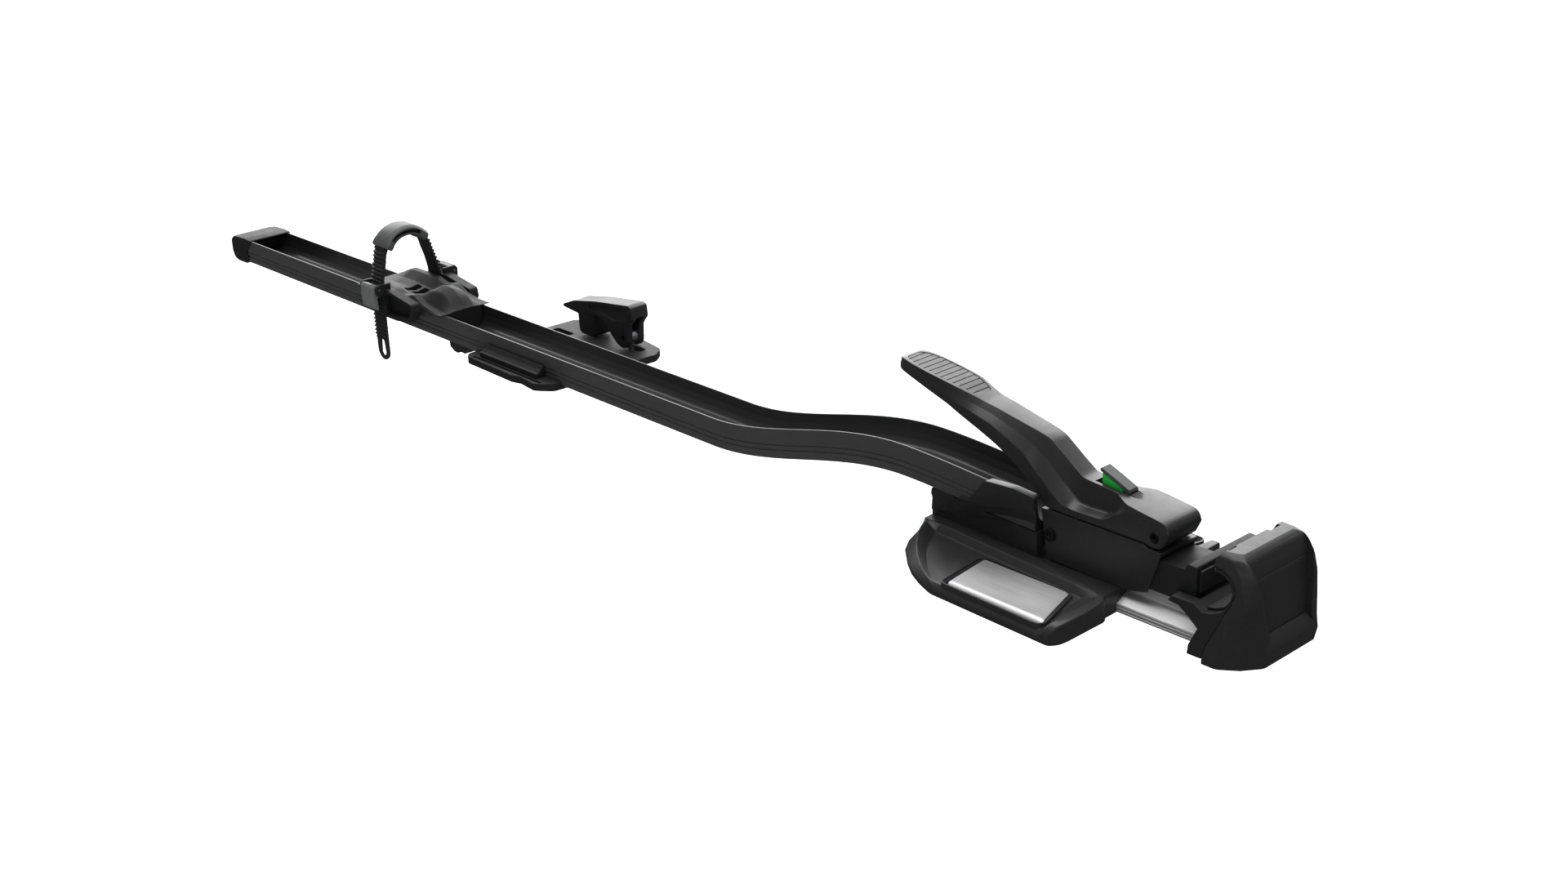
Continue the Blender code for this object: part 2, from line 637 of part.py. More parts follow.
def wear_plate(name, sign):
    """Satin metal plate in the wing's window, rolled over along its outer edge."""
    rows = [(47.0, 3.4, 12.0), (89.0, 3.4, 11.6), (91.8, 3.4, 10.4), (93.2, 3.4, 7.0)]
    rings = []
    for y, low, high in rows:
        t = (y - 44.6) / (96.5 - 44.6)
        rear, front = -33.0 + 6.6 * t, 46.0 + 16.6 * t
        rings.append([(rear, sign * y, low), (rear, sign * y, high), (front, sign * y, high),
                      (front, sign * y, low)])
    plate = loft(name, rings)
    return finish(plate, principled(name + "_silver", SILVER, 0.35, 1.0))


# ---------------------------------------------------------------- front rail and bolts

def slide_rail():
    """Metal rail through the foot that carries the jaw and the fork head."""
    half = [(27, 0), (27, 1.6), (26.2, 1.9), (26.2, 2.7), (27, 3.0), (27, 4.2), (26.2, 4.5), (26.2, 5.3),
            (27, 5.6), (26.4, 7.0), (13.6, 12.0), (12.7, 13.0), (12.7, 20.0), (11.6, 22.2), (9.0, 23.0)]
    inner = [(8.5, 2.6), (8.5, 17.6), (6.5, 19.4)]
    ring = half + [(-y, z) for y, z in reversed(half)]
    rail = slab("slide_rail", ring, YZ, -66.0, 158.0)
    core = slab("core", inner + [(-y, z) for y, z in reversed(inner)], YZ, -80.0, 170.0)
    bake(cut(rail, core))
    for x in TRACK_BOLT_X:
        cut(rail, rod("bolt_hole", (x, 0, 15), 3.9, 50, (0, 0, 1), 20))
    bake(rail)
    return finish(rail, principled("rail_silver", SILVER, 0.3, 1.0))


def track_bolt(name, x):
    """Bolt whose square head sits in the roof bar's slot."""
    bolt = box(name, (x - 8, -8, -14.0), (x + 8, 8, -10.0))
    shank = rod("shank", (x, 0, 8.2), 3.5, 39.6, (0, 0, 1), 20)
    bake(join(bolt, shank))
    return finish(bolt, steel(name + "_steel"))


def track_nut(name, x):
    nut = rod(name, (x, 0, 25.8), 6.5, 5.0, (0, 0, 1), 6)
    bore = rod("bore", (x, 0, 25.8), 3.8, 12.0, (0, 0, 1), 20)
    bake(cut(nut, bore))
    return finish(nut, steel(name + "_steel"))


def tray_room(name, low, high, gap):
    """The space the tray needs between two places along it."""
    rings = []
    for i in range(13):
        x = low + (high - low) * i / 12
        floor = tray_under(x) - gap
        lid = tray_under(x) + TRAY_HEIGHT + gap
        side = TRAY_HALF + gap
        rings.append([(x, -side, floor), (x, side, floor), (x, side, lid), (x, -side, lid)])
    return loft(name, rings)


def tray_collar(name, sign):
    """Cheek of the foot that wraps one lip of the tray."""
    side = [(-64, 49), (-46, 67.5), (-20, 67.6), (1.2, 66.0), (1.2, 49.5), (-30, 47.5)]
    low, high = sorted((sign * 20.9, sign * 28.0))
    collar = slab(name, rounded(side, [2, 6, 2, 2, 2, 20], 3), XZ, low, high)
    bake(cut(collar, tray_room("room", -80, 10, GAP + 0.1)))
    return finish(collar, black(name + "_black"))


# ---------------------------------------------------------------- lever housing

def housing_half(name, sign):
    """One moulded half: side wall, roof, rear wall and its share of the pivot lug."""
    outline = [(3, SEAM_Z), (9, 18), (81, 16.2), (102, 21.2), (113.2, 55.3), (101, 55.3), (97, SEAM_Z)]
    low, high = sorted((sign * 0.15, sign * 21.2))
    shell = slab(name, outline, XZ, low, high)
    inside = sorted((0.0, sign * 19.8))
    room = [(8.6, 0), (8.6, 24), (6.0, 40), (6.0, 51), (125, 51), (125, 0)]
    cut(shell, slab("room", room, XZ, inside[0] - (sign > 0), inside[1] + (sign < 0)))
    lug_side = sorted((sign * 0.15, sign * 8.0))
    lug = slab("lug", [(99.6, 53), (104.4, 53), *arc((PIVOT_X, PIVOT_Z), 8.5, -84, 215, 18), (99.6, 57.9)],
               XZ, *lug_side)
    join(shell, lug)
    cut(shell, box("rib_room", (0, -13.1, 0), (12, 13.1, 23.4)))
    bake(shell)
    cut(shell, rod("pin_bore", (PIVOT_X, 0, PIVOT_Z), 4.06, 60, (0, 1, 0), 32))
    cut(shell, rod("screw_bore", (12, sign * 20, 38), 3.3, 16, (0, 1, 0), 20))
    bake(shell)
    return finish(shell, black(name + "_black"))


def housing_screw(name, sign):
    head = rod(name, (12, sign * 22.2, 38), 5.0, 1.4, (0, 1, 0), 20)
    shank = rod("shank", (12, sign * 19.0, 38), 2.9, 7.0, (0, 1, 0), 16)
    socket = rod("socket", (12, sign * 23.0, 38), 2.2, 1.8, (0, 1, 0), 6)
    bake(join(head, shank))
    bake(cut(head, socket))
    return finish(head, steel(name + "_steel"))


# ---------------------------------------------------------------- front lever

# place along X, half width below, underside, ridge height, half width of the top, top height
LEVER_STATIONS = [
    (-155.5, 3.0, 128.0, 129.2, 2.0, 130.6),
    (-153.0, 8.0, 127.0, 130.0, 7.0, 133.6),
    (-148.0, 12.5, 126.6, 130.0, 11.5, 134.3),
    (-137.0, 15.8, 125.0, 128.6, 14.6, 133.2),
    (-119.0, 16.5, 119.3, 124.4, 15.6, 130.8),
    (-96.0, 17.4, 112.6, 119.2, 15.2, 126.4),
    (-88.0, 18.3, 110.0, 117.8, 14.8, 125.0),
    (-72.0, 19.4, 104.8, 114.8, 12.6, 120.4),
    (-64.0, 19.8, 102.2, 113.2, 10.6, 120.8),
    (-50.0, 20.0, 96.8, 110.0, 9.8, 119.0),
    (-42.0, 20.0, 93.4, 106.8, 9.6, 117.3),
    (-31.0, 20.0, 88.0, 102.0, 9.2, 115.0),
    (-15.0, 20.0, 77.4, 94.0, 8.8, 112.0),
    (-4.5, 20.0, 69.0, 84.0, 8.4, 109.8),
    (1.5, 20.0, 62.4, 79.0, 8.2, 107.2),
    (5.0, 20.0, 57.9, 76.0, 8.2, 104.6),
    (20.0, 20.0, 57.8, 64.4, 8.2, 94.0),
    (31.0, 20.0, 57.8, 63.8, 9.0, 86.2),
    (45.0, 20.0, 57.8, 63.8, 12.0, 85.2),
    (59.0, 20.0, 57.8, 64.4, 14.4, 84.6),
    (74.0, 20.0, 57.8, 73.0, 18.0, 83.6),
    (90.0, 20.0, 57.8, 75.2, 18.8, 81.4),
    (97.0, 20.0, 57.8, 75.8, 18.8, 80.4),
    (101.0, 20.0, 56.7, 76.0, 18.6, 79.8),
    (105.5, 20.0, 55.6, 76.2, 18.4, 79.2),
    (110.0, 20.0, 56.8, 76.2, 18.2, 78.6),
    (113.2, 20.0, 59.5, 75.8, 17.8, 78.1),
    (115.4, 19.6, 64.4, 75.2, 17.4, 77.6),
    (117.0, 19.0, 68.2, 74.6, 17.0, 76.6),
]
PAD_LINE = [(-147, 136.6), (-137, 135.6), (-126, 134.0), (-105, 131.0), (-88, 128.0), (-72, 123.4)]


def front_lever():
    """Long hand lever: narrow spine above wide skirts, cap and nose over the pivot."""
    rings = []
    for x, wide, under, ridge, top, height in LEVER_STATIONS:
        half = [(wide - 0.8, under), (wide, under + 0.8), (wide, ridge),
                (top + (wide - top) * 0.35, ridge + (height - ridge) * 0.45), (top, height - 1.2),
                (top - 1.4, height)]
        section = half + [(-y, z) for y, z in reversed(half)]
        rings.append([(x, y, z) for y, z in section])
    lever = loft("front_lever", rings)
    fan = arc((PIVOT_X, PIVOT_Z), 9.0, -13, 216, 20) + [(88, 57.4), (88, 50), (130, 50), (130, 59.4)]
    slot = slab("lug_room", fan, XZ, -8.4, 8.4)
    pocket = box("flag_room", (42.0, -5.6, 66), (72.5, 5.6, 110))
    cut(lever, slot, pocket)
    bake(lever)
    cut(lever, rod("pin_bore", (PIVOT_X, 0, PIVOT_Z), 4.1, 60, (0, 1, 0), 32))
    cut(lever, rod("flap_bore", (FLAP_PIN_X, 0, FLAP_PIN_Z - 2.4), 1.1, 18, (0, 1, 0), 16))
    bake(lever)
    return finish(lever, black("lever_black"), (PIVOT_X, 0, PIVOT_Z))


def grip_pad():
    """Soft ribbed pad along the top of the lever."""
    top, low = [], []
    lengths = [0.0]
    for a, b in zip(PAD_LINE, PAD_LINE[1:]):
        lengths.append(lengths[-1] + math.dist(a, b))
    count = 48
    for index in range(count + 1):
        want = lengths[-1] * index / count
        seg = max(i for i in range(len(PAD_LINE) - 1) if lengths[i] <= want + 1e-9)
        t = (want - lengths[seg]) / (lengths[seg + 1] - lengths[seg])
        x = PAD_LINE[seg][0] + (PAD_LINE[seg + 1][0] - PAD_LINE[seg][0]) * t
        z = PAD_LINE[seg][1] + (PAD_LINE[seg + 1][1] - PAD_LINE[seg][1]) * t
        top.append((x, z - (0.8 if index % 4 == 2 and 2 < index < 46 else 0.0)))
    for x, z in top[::6]:
        low.append((x, lever_top(x) + GAP))
    pad = slab("lever_grip_pad", top + list(reversed(low)), XZ, -16.0, 16.0)
    plan = [(-160, -4), (-147.5, -10.0), (-137, -14.0), (-110, -15.2), (-88, -14.2), (-70, -11.0),
            (-70, 11.0), (-88, 14.2), (-110, 15.2), (-137, 14.0), (-147.5, 10.0), (-160, 4)]
    boolean(pad, slab("plan", plan, XY, 90, 150), "INTERSECT")
    bake(pad)
    return finish(pad, principled("grip_rubber", SOFT_BLACK, 0.75), (PIVOT_X, 0, PIVOT_Z))


def lever_top(x):
    """Top height of the lever between two of its stations."""
    for a, b in zip(LEVER_STATIONS, LEVER_STATIONS[1:]):
        if a[0] <= x <= b[0]:
            return a[5] + (b[5] - a[5]) * (x - a[0]) / (b[0] - a[0])
    return LEVER_STATIONS[0][5]


def pivot_pin():
    pin = rod("lever_pivot_pin", (PIVOT_X, 0, PIVOT_Z), 4.0, 40.6, (0, 1, 0), 32)
    for sign in (-1, 1):
        cut(pin, rod("socket", (PIVOT_X, sign * 20.3, PIVOT_Z), 2.0, 4.0, (0, 1, 0), 6))
    bake(pin)
    return finish(pin, steel("pivot_steel"), (PIVOT_X, 0, PIVOT_Z))


def indicator_flap():
    """Small flap in the lever's deck, hinged at its front end and sprung up at the rear."""
    side = [(43.5, 95.6), (45.0, 97.2), (58, 92.0), (70.6, 86.6), (71.4, 84.4), (69.6, 80.6),
            (67.2, 80.8), (66.8, 84.8), (57, 89.2), (44.6, 94.2)]
    flap = slab("indicator_flap", side, XZ, -5.0, 5.0)
    bake(cut(flap, rod("bore", (FLAP_PIN_X, 0, FLAP_PIN_Z - 2.4), 1.1, 18, (0, 1, 0), 16)))
    return finish(flap, principled("flap_grey", PAD_GREY, 0.5), (FLAP_PIN_X, 0, FLAP_PIN_Z - 2.4))


def indicator_flag():
    side = [(45.8, 93.3), (56.5, 88.9), (65.6, 84.8), (64.0, 81.6), (50, 81.6), (45.6, 86)]
    flag = slab("indicator_flag", side, XZ, -4.6, 4.6)
    return finish(flag, principled("flag_green", GREEN, 0.4), (FLAP_PIN_X, 0, FLAP_PIN_Z - 2.4))


def indicator_pin():
    pin = rod("indicator_pin", (FLAP_PIN_X, 0, FLAP_PIN_Z - 2.4), 1.0, 14.0, (0, 1, 0), 16)
    return finish(pin, steel("indicator_steel"))


# ---------------------------------------------------------------- jaw and fork head

def axle_jaw():
    """Sliding jaw that closes on the axle, with its neck running back into the housing."""
    jaw = slab("axle_jaw", [(58, 23.4), (58, 40), (66, 48.6), (142, 49.0), (142, 23.4)], XZ, -19.4, 19.4)
    block = slab("block", rounded([(146.5, 64), (154.5, 63.4), (154.5, 39), (135.4, 39)], 1.5, 2), XZ,
                 -JAW_HALF, JAW_HALF)
    join(jaw, block)
    bake(jaw)
    cut(jaw, rod("rod_bore", (60, 0, 36), 4.3, 40, (1, 0, 0), 24))
    bake(jaw)
    return finish(jaw, black("jaw_black"))


def jaw_liner():
    liner = slab("jaw_liner", rounded([(154.8, 60.5), (156.6, 60.0), (156.6, 44), (154.8, 43.5)], 0.5, 1), XZ,
                 -33, 33)
    return finish(liner, principled("liner_rubber", SOFT_BLACK, 0.7))


def draw_rod():
    bar = rod("draw_rod", (51, 0, 36), 4.0, 50.0, (1, 0, 0), 24)
    collar = rod("collar", (28, 0, 36), 7.0, 4.0, (1, 0, 0), 24)
    bake(join(bar, collar))
    return finish(bar, steel("draw_rod_steel"))


SEAT_RING = [(171, 68.3), (175.5, 68.2), (179.6, 67.0), (184, 62.9), (186.6, 56.8), (185.3, 50),
             (180.8, 44.5), (173.6, 41.2), (167, 40.0), (161.0, 41.6)]


def offset_ring(points, amount):
    """Move an open polyline sideways."""
    result = []
    for index, point in enumerate(points):
        before = Vector(points[max(index - 1, 0)])
        after = Vector(points[min(index + 1, len(points) - 1)])
        along = (after - before).normalized()
        result.append(tuple(Vector(point) + Vector((-along.y, along.x)) * amount))
    return result


def head_width_mask(name, inset):
    """Front view of the head: wide at the foot, narrow at the horns."""
    half = [(53 - inset, -10), (53 - inset, 6), (50.6 - inset, 20), (46.5 - inset, 45), (43 - inset, 64),
            (38.5 - inset, 78), (36 - inset, 90)]
    return slab(name, half + [(-y, z) for y, z in reversed(half)], YZ, 100, 240)


def head_core():
    """Inner body of the head: the seat ring for the axle and the bracket under the jaw."""
    ring = offset_ring(SEAT_RING, 1.9 + GAP)
    outline = [(171, 70.3), *ring[1:9], (160.0, 41.8), (141, 41.7), (138.5, 37.5), (148, 36.5), (156, 32),
               (165.5, 25.4), (160, 12), (160, 5.5), (172, 5.5), (174.0, 15.6), (188.4, 49), (190.6, 58.6),
               (186.4, 66.8), (178.6, 71.6), (171, 72.0)]
    core = slab("head_core", outline, XZ, -60, 60)
    boolean(core, head_width_mask("mask", 1.2), "INTERSECT")
    bake(core)
    cut(core, box("jaw_room", (100, -36.5, 36.0), (158.2, 36.5, 80)))
    cut(core, box("neck_room", (100, -20.2, 23.2), (158.2, 20.2, 50)))
    cut(core, box("rail_room", (100, -27.3, -5), (158.4, 27.3, 7.4)))
    cut(core, box("rib_room", (100, -13.2, 0), (158.4, 13.2, 23.4)))
    bake(core)
    return finish(core, black("core_black"))


def seat_liner():
    inner = SEAT_RING
    outer = offset_ring(SEAT_RING, 1.9)
    band = inner[:-1] + list(reversed(outer[:-1]))
    liner = slab("axle_seat_liner", band, XZ, -40, 40)
    return finish(liner, principled("seat_rubber", SOFT_BLACK, 0.65))


HEAD_FRONT = [(189.5, 82), (196, 77.5), (201, 69), (205, 55), (206.8, 39), (209, 23), (211.5, 13.5),
              (208, 5.5), (200, 3)]


def head_outline(shift):
    rear = [(176, 2.2), (172.6, 3.0), (172.6, 5.2), (174.6, 15.4), (188.9, 48.9), (191.2, 58.6),
            (186.8, 67.2), (178.8, 72.1), (171, 72.5), (171, 74.5), (174.6, 81.6)]
    return [(x + shift, z) for x, z in HEAD_FRONT] + rear


def head_shell():
    """Outer cover of the head with horns over the seat and a recess for the face panel."""
    shell = slab("head_shell", head_outline(0.0), XZ, -60, 60)
    boolean(shell, head_width_mask("mask", 0.0), "INTERSECT")
    bake(shell)
    band = [(x, z) for x, z in HEAD_FRONT[1:7]]
    deep = [(x - 2.6, z) for x, z in band]
    proud = [(x + 20, z) for x, z in band]
    pocket = slab("pocket", proud + list(reversed(deep)), XZ, -60, 60)
    mask = slab("pocket_mask", rounded([(-31.5, 17), (31.5, 17), (21.5, 70.5), (-21.5, 70.5)], 5, 3), YZ,
                180, 240)
    boolean(pocket, mask, "INTERSECT")
    bake(pocket)
    cut(shell, pocket)
    cut(shell, box("top_slot", (179, -12, 79.4), (182, 12, 90)))
    bake(shell)
    return finish(shell, black("shell_black"))


def face_panel():
    band = [(x - 0.3, z) for x, z in HEAD_FRONT[1:7]]
    deep = [(x - 2.0, z) for x, z in band]
    panel = slab("head_face_panel", band + list(reversed(deep)), XZ, -60, 60)
    mask = slab("panel_mask", rounded([(-31.1, 17.4), (31.1, 17.4), (21.1, 70.1), (-21.1, 70.1)], 4.7, 3), YZ,
                180, 240)
    boolean(panel, mask, "INTERSECT")
    bake(panel)
    return finish(panel, black("panel_black"))


def head_bolt(name, sign):
    head = rod(name, (186, sign * 18, 0.9), 5.2, 2.0, (0, 0, 1), 6)
    return finish(head, steel(name + "_steel"))


def main():
    global PIECES, CUTTERS
    clear_scene()
    PIECES = new_collection("fork_mount_roof_carrier")
    CUTTERS = new_collection("cutters")
    wheel_tray()
    tray_end_cap()
    tray_cap_screw()
    tray_rest_foot()
    wheel_cradle()
    wheel_strap()
    pad = rim_pad()
    hang([pad], "rim_pad_axis", (STRAP_X, ARCH_Y, ARCH_Z))
    for name, sign in (("near", -1), ("far", 1)):
        side_housing(name + "_buckle_housing", sign)
        lever = release_lever(name + "_release_lever", sign)
        hang([lever], name + "_release_axis", (STRAP_X, sign * 46.5, 43.5))
        buckle_pin(name + "_buckle_pin", sign)
    rear_clamp_plate()
    rear_bar_pad()
    for name, sign in (("near", -1), ("far", 1)):
        rear_tray_clip("rear_clip_" + name, sign)
    lever = cam_lever()
    pin = cam_pin()
    hang([lever], "cam_axis", CAM_PIN)
    eye_bolt()
    front_foot()
    for name, sign in (("near", -1), ("far", 1)):
        wear_plate(name + "_wear_plate", sign)
        tray_collar("tray_collar_" + name, sign)
        housing_half("housing_" + name, sign)
        housing_screw("housing_screw_" + name, sign)
        head_bolt("head_bolt_" + name, sign)
    slide_rail()
    for name, x in zip(("rear", "front"), TRACK_BOLT_X):
        track_bolt("track_bolt_" + name, x)
        track_nut("track_nut_" + name, x)
    pieces = [front_lever(), grip_pad(), pivot_pin(), indicator_flap(), indicator_flag(), indicator_pin()]
    hang(pieces, "front_lever_axis", (PIVOT_X, 0, PIVOT_Z))
    axle_jaw()
    jaw_liner()
    draw_rod()
    head_core()
    seat_liner()
    head_shell()
    face_panel()


main()
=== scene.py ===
import math

import bmesh
import bpy
from mathutils import Matrix, Vector


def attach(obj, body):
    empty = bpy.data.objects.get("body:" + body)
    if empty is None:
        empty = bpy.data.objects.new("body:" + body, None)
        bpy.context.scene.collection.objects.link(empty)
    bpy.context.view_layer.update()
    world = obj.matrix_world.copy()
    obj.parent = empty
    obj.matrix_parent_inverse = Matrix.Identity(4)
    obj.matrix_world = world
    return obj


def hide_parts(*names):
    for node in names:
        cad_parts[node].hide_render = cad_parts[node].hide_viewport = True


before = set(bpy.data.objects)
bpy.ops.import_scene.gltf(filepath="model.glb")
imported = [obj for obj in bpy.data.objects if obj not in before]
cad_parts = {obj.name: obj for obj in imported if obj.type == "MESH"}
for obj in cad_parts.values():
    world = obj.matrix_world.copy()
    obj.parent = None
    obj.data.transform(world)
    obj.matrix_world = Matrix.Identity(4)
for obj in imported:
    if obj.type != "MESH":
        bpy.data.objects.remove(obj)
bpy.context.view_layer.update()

mm = 0.001
scene = bpy.context.scene
scene.view_settings.view_transform = "Standard"


# shader maths

class Wire:
    # one output socket of a material; an expression on it adds its Math nodes
    def __init__(self, paint, socket):
        self.paint, self.socket = paint, socket

    def maths(self, kind, other, flip=False):
        ends = (other, self) if flip else (self, other)
        return self.paint.node("ShaderNodeMath", {"operation": kind}, {0: ends[0], 1: ends[1]})

    def __add__(self, other): return self.maths("ADD", other)
    def __radd__(self, other): return self.maths("ADD", other, True)
    def __sub__(self, other): return self.maths("SUBTRACT", other)
    def __rsub__(self, other): return self.maths("SUBTRACT", other, True)
    def __mul__(self, other): return self.maths("MULTIPLY", other)
    def __rmul__(self, other): return self.maths("MULTIPLY", other, True)


class Paint:
    # a Principled material that is built node by node
    def __init__(self, name, **constants):
        self.material = bpy.data.materials.new(name)
        self.material.use_nodes = True
        self.tree = self.material.node_tree
        self.shader = self.tree.nodes["Principled BSDF"]
        self.place = self.node("ShaderNodeTexCoord", out="Object")
        for socket, value in constants.items():
            self.shader.inputs[socket].default_value = value

    def node(self, kind, settings=None, values=None, out=0):
        made = self.tree.nodes.new(kind)
        for name, value in (settings or {}).items():
            setattr(made, name, value)
        for name, value in (values or {}).items():
            if isinstance(value, Wire):
                self.tree.links.new(value.socket, made.inputs[name])
            else:
                made.inputs[name].default_value = value
        return Wire(self, made.outputs[out])

    def noise(self, scale, detail=3.0, stretch=None, roughness=0.5):
        place = self.place
        if stretch:
            place = self.node("ShaderNodeMapping", None, {"Vector": place, "Scale": stretch})
        return self.node("ShaderNodeTexNoise", None, {"Vector": place, "Scale": scale,
                                                      "Detail": detail, "Roughness": roughness})

    def span(self, wire, low, high, toLow=0.0, toHigh=1.0):
        return self.node("ShaderNodeMapRange", None, {"Value": wire, "From Min": low, "From Max": high,
                                                      "To Min": toLow, "To Max": toHigh})

    def blend(self, factor, one, other):
        made = self.tree.nodes.new("ShaderNodeMix")
        made.data_type = "RGBA"
        for index, value in ((0, factor), (6, one), (7, other)):
            if isinstance(value, Wire):
                self.tree.links.new(value.socket, made.inputs[index])
            else:
                made.inputs[index].default_value = value if index == 0 else (*value, 1)
        return Wire(self, made.outputs[2])

    def feed(self, socket, value):
        if isinstance(value, Wire):
            self.tree.links.new(value.socket, self.shader.inputs[socket])
        else:
            self.shader.inputs[socket].default_value = value

    def bump(self, height, strength, distance):
        self.feed("Normal", self.node("ShaderNodeBump", None, {"Height": height, "Strength": strength,
                                                               "Distance": distance}))


plastics = {       # dark colour, light colour, roughness, grain strength, index of refraction
    "mouldedBlack": ((0.0115, 0.0115, 0.0120), (0.0175, 0.0175, 0.0180), 0.36, 0.16, 1.48),
    "shellBlack": ((0.0120, 0.0120, 0.0125), (0.0175, 0.0175, 0.0180), 0.40, 0.12, 1.38),
    "dullBlack": ((0.0090, 0.0090, 0.0095), (0.0135, 0.0135, 0.0140), 0.56, 0.18, 1.27),
    "rubberBlack": ((0.0100, 0.0100, 0.0100), (0.0160, 0.0160, 0.0160), 0.62, 0.30, 1.40),
    "strapBlack": ((0.0120, 0.0120, 0.0125), (0.0210, 0.0210, 0.0215), 0.50, 0.22, 1.40),
    "padGrey": ((0.0420, 0.0430, 0.0440), (0.0560, 0.0570, 0.0590), 0.50, 0.25, 1.44),
    "leverGrey": ((0.0900, 0.0920, 0.0940), (0.1150, 0.1170, 0.1190), 0.42, 0.18, 1.44),
    "gripGrey": ((0.0160, 0.0162, 0.0166), (0.0230, 0.0232, 0.0238), 0.46, 0.30, 1.48),
    "flagGreen": ((0.0080, 0.3000, 0.0300), (0.0110, 0.3700, 0.0420), 0.32, 0.08, 1.48),
}


def plasticPaint(name):
    dark, light, rough, grain, bending = plastics[name]
    paint = Paint(name, IOR=bending)
    cloud = paint.noise(38.0, 4.0)
    dust = paint.span(paint.noise(420.0, 2.0), 0.52, 0.72)
    paint.feed("Base Color", paint.blend(cloud * 0.7 + dust * 0.3, dark, light))
    paint.feed("Roughness", rough + (paint.noise(120.0, 3.0) - 0.5) * 0.16 + dust * 0.05)
    paint.bump(paint.noise(1900.0, 2.0) + paint.noise(650.0, 2.0) * 0.5, grain, 0.0002)
    return paint.material


metals = {         # dark colour, light colour, roughness, brushing scale
    "satinMetal": ((0.400, 0.400, 0.405), (0.470, 0.470, 0.475), 0.52, (1.2, 60.0, 60.0)),
    "railMetal": ((0.640, 0.640, 0.645), (0.740, 0.740, 0.745), 0.60, (1.2, 60.0, 60.0)),
    "zincSteel": ((0.420, 0.420, 0.440), (0.600, 0.600, 0.620), 0.30, (40.0, 40.0, 40.0)),
    "blackSteel": ((0.020, 0.020, 0.021), (0.034, 0.034, 0.035), 0.38, (30.0, 30.0, 30.0)),
}


def metalPaint(name):
    dark, light, rough, brushing = metals[name]
    paint = Paint(name, Metallic=1.0)
    lines = paint.noise(18.0, 5.0, brushing)
    paint.feed("Base Color", paint.blend(paint.span(lines, 0.3, 0.7), dark, light))
    paint.feed("Roughness", rough + (lines - 0.5) * 0.22 + (paint.noise(60.0) - 0.5) * 0.08)
    paint.bump(lines, 0.10, 0.0001)
    return paint.material


def anodisedPaint():
    paint = Paint("anodisedBlack", IOR=1.5)
    lines = paint.noise(14.0, 5.0, (0.8, 70.0, 70.0))
    cloud = paint.noise(9.0, 3.0)
    # the outer walls, beyond about 23.2 mm from the middle, get a lighter colour than the inside of the
    # channel: painted light on the outer walls and painted shade inside the channel
    across = paint.node("ShaderNodeSeparateXYZ", None, {"Vector": paint.place}, out=1)
    paintedLightMask = paint.span(across * across, 0.0232 ** 2, 0.0240 ** 2)
    worn = lines * 0.5 + cloud * 0.5
    # inner is the darker painted-shade colour of the channel inside, outer the lighter painted-light colour
    # of the outer walls; worn only adds random grain and tone to both
    inner = paint.blend(worn, (0.0080, 0.0080, 0.0084), (0.0140, 0.0140, 0.0144))
    outer = paint.blend(worn, (0.0300, 0.0300, 0.0306), (0.0400, 0.0400, 0.0408))
    paint.feed("Base Color", paint.blend(paintedLightMask, inner, outer))
    paint.feed("Roughness", 0.33 + (lines - 0.5) * 0.14 + (cloud - 0.5) * 0.08)
    paint.bump(paint.noise(1500.0, 2.0), 0.10, 0.0002)
    return paint.material


# mesh tools: lengths in millimetres, outlines in the two coordinates of their plane

placers = {
    "xy": lambda u, v, level: (u, v, level),
    "xz": lambda u, v, level: (u, level, v),
    "yz": lambda u, v, level: (level, u, v),
}


def rounded(points, radius, steps=4):
    # every corner becomes a short curve of steps + 1 points
    count = len(points)
    radii = radius if isinstance(radius, (list, tuple)) else [radius] * count
    result = []
    for index, place in enumerate(points):
        here = Vector(place)
        before = Vector(points[index - 1]) - here
        after = Vector(points[(index + 1) % count]) - here
        half = max(before.angle(after) / 2, 0.02)
        reach = max(min(radii[index] / math.tan(half), before.length * 0.48, after.length * 0.48), 0.01)
        start = here + before.normalized() * reach
        end = here + after.normalized() * reach
        for step in range(steps + 1):
            t = step / steps
            result.append(tuple(start * (1 - t) ** 2 + here * 2 * t * (1 - t) + end * t ** 2))
    return result


def arcPoints(centre, radius, start, end, steps):
    angles = [math.radians(start + (end - start) * step / steps) for step in range(steps + 1)]
    return [(centre[0] + radius * math.cos(angle), centre[1] + radius * math.sin(angle)) for angle in angles]


def bothSides(half):
    # an outline from its one half, which runs up the far side
    return half + [(-y, z) for y, z in reversed(half)]


def skin(rings):
    # a closed skin over sections with equal numbers of points
    bm = bmesh.new()
    rows = [[bm.verts.new(Vector(place) * mm) for place in ring] for ring in rings]
    count = len(rings[0])
    for near, far in zip(rows, rows[1:]):
        for index in range(count):
            after = (index + 1) % count
            bm.faces.new((near[index], near[after], far[after], far[index]))
    bm.faces.new(rows[0])
    bm.faces.new(list(reversed(rows[-1])))
    return closeUp(bm)


def closeUp(bm):
    bmesh.ops.remove_doubles(bm, verts=bm.verts, dist=0.000004)
    bmesh.ops.recalc_face_normals(bm, faces=bm.faces)
    if bm.calc_volume(signed=True) < 0:
        bmesh.ops.reverse_faces(bm, faces=bm.faces)
    return bm


def slab(outline, plane, low, high):
    place = placers[plane]
    return skin([[place(u, v, level) for u, v in outline] for level in (low, high)])


def rod(centre, radius, length, axis, sides=32):
    bm = bmesh.new()
    bmesh.ops.create_cone(bm, cap_ends=True, segments=sides, radius1=radius * mm, radius2=radius * mm,
                          depth=length * mm)
    turn = Vector((0, 0, 1)).rotation_difference(Vector(axis)).to_matrix().to_4x4()
    bm.transform(Matrix.Translation(Vector(centre) * mm) @ turn)
    return bm


def block(low, high):
    return slab([(low[0], low[1]), (high[0], low[1]), (high[0], high[1]), (low[0], high[1])], "xy", low[2],
                high[2])


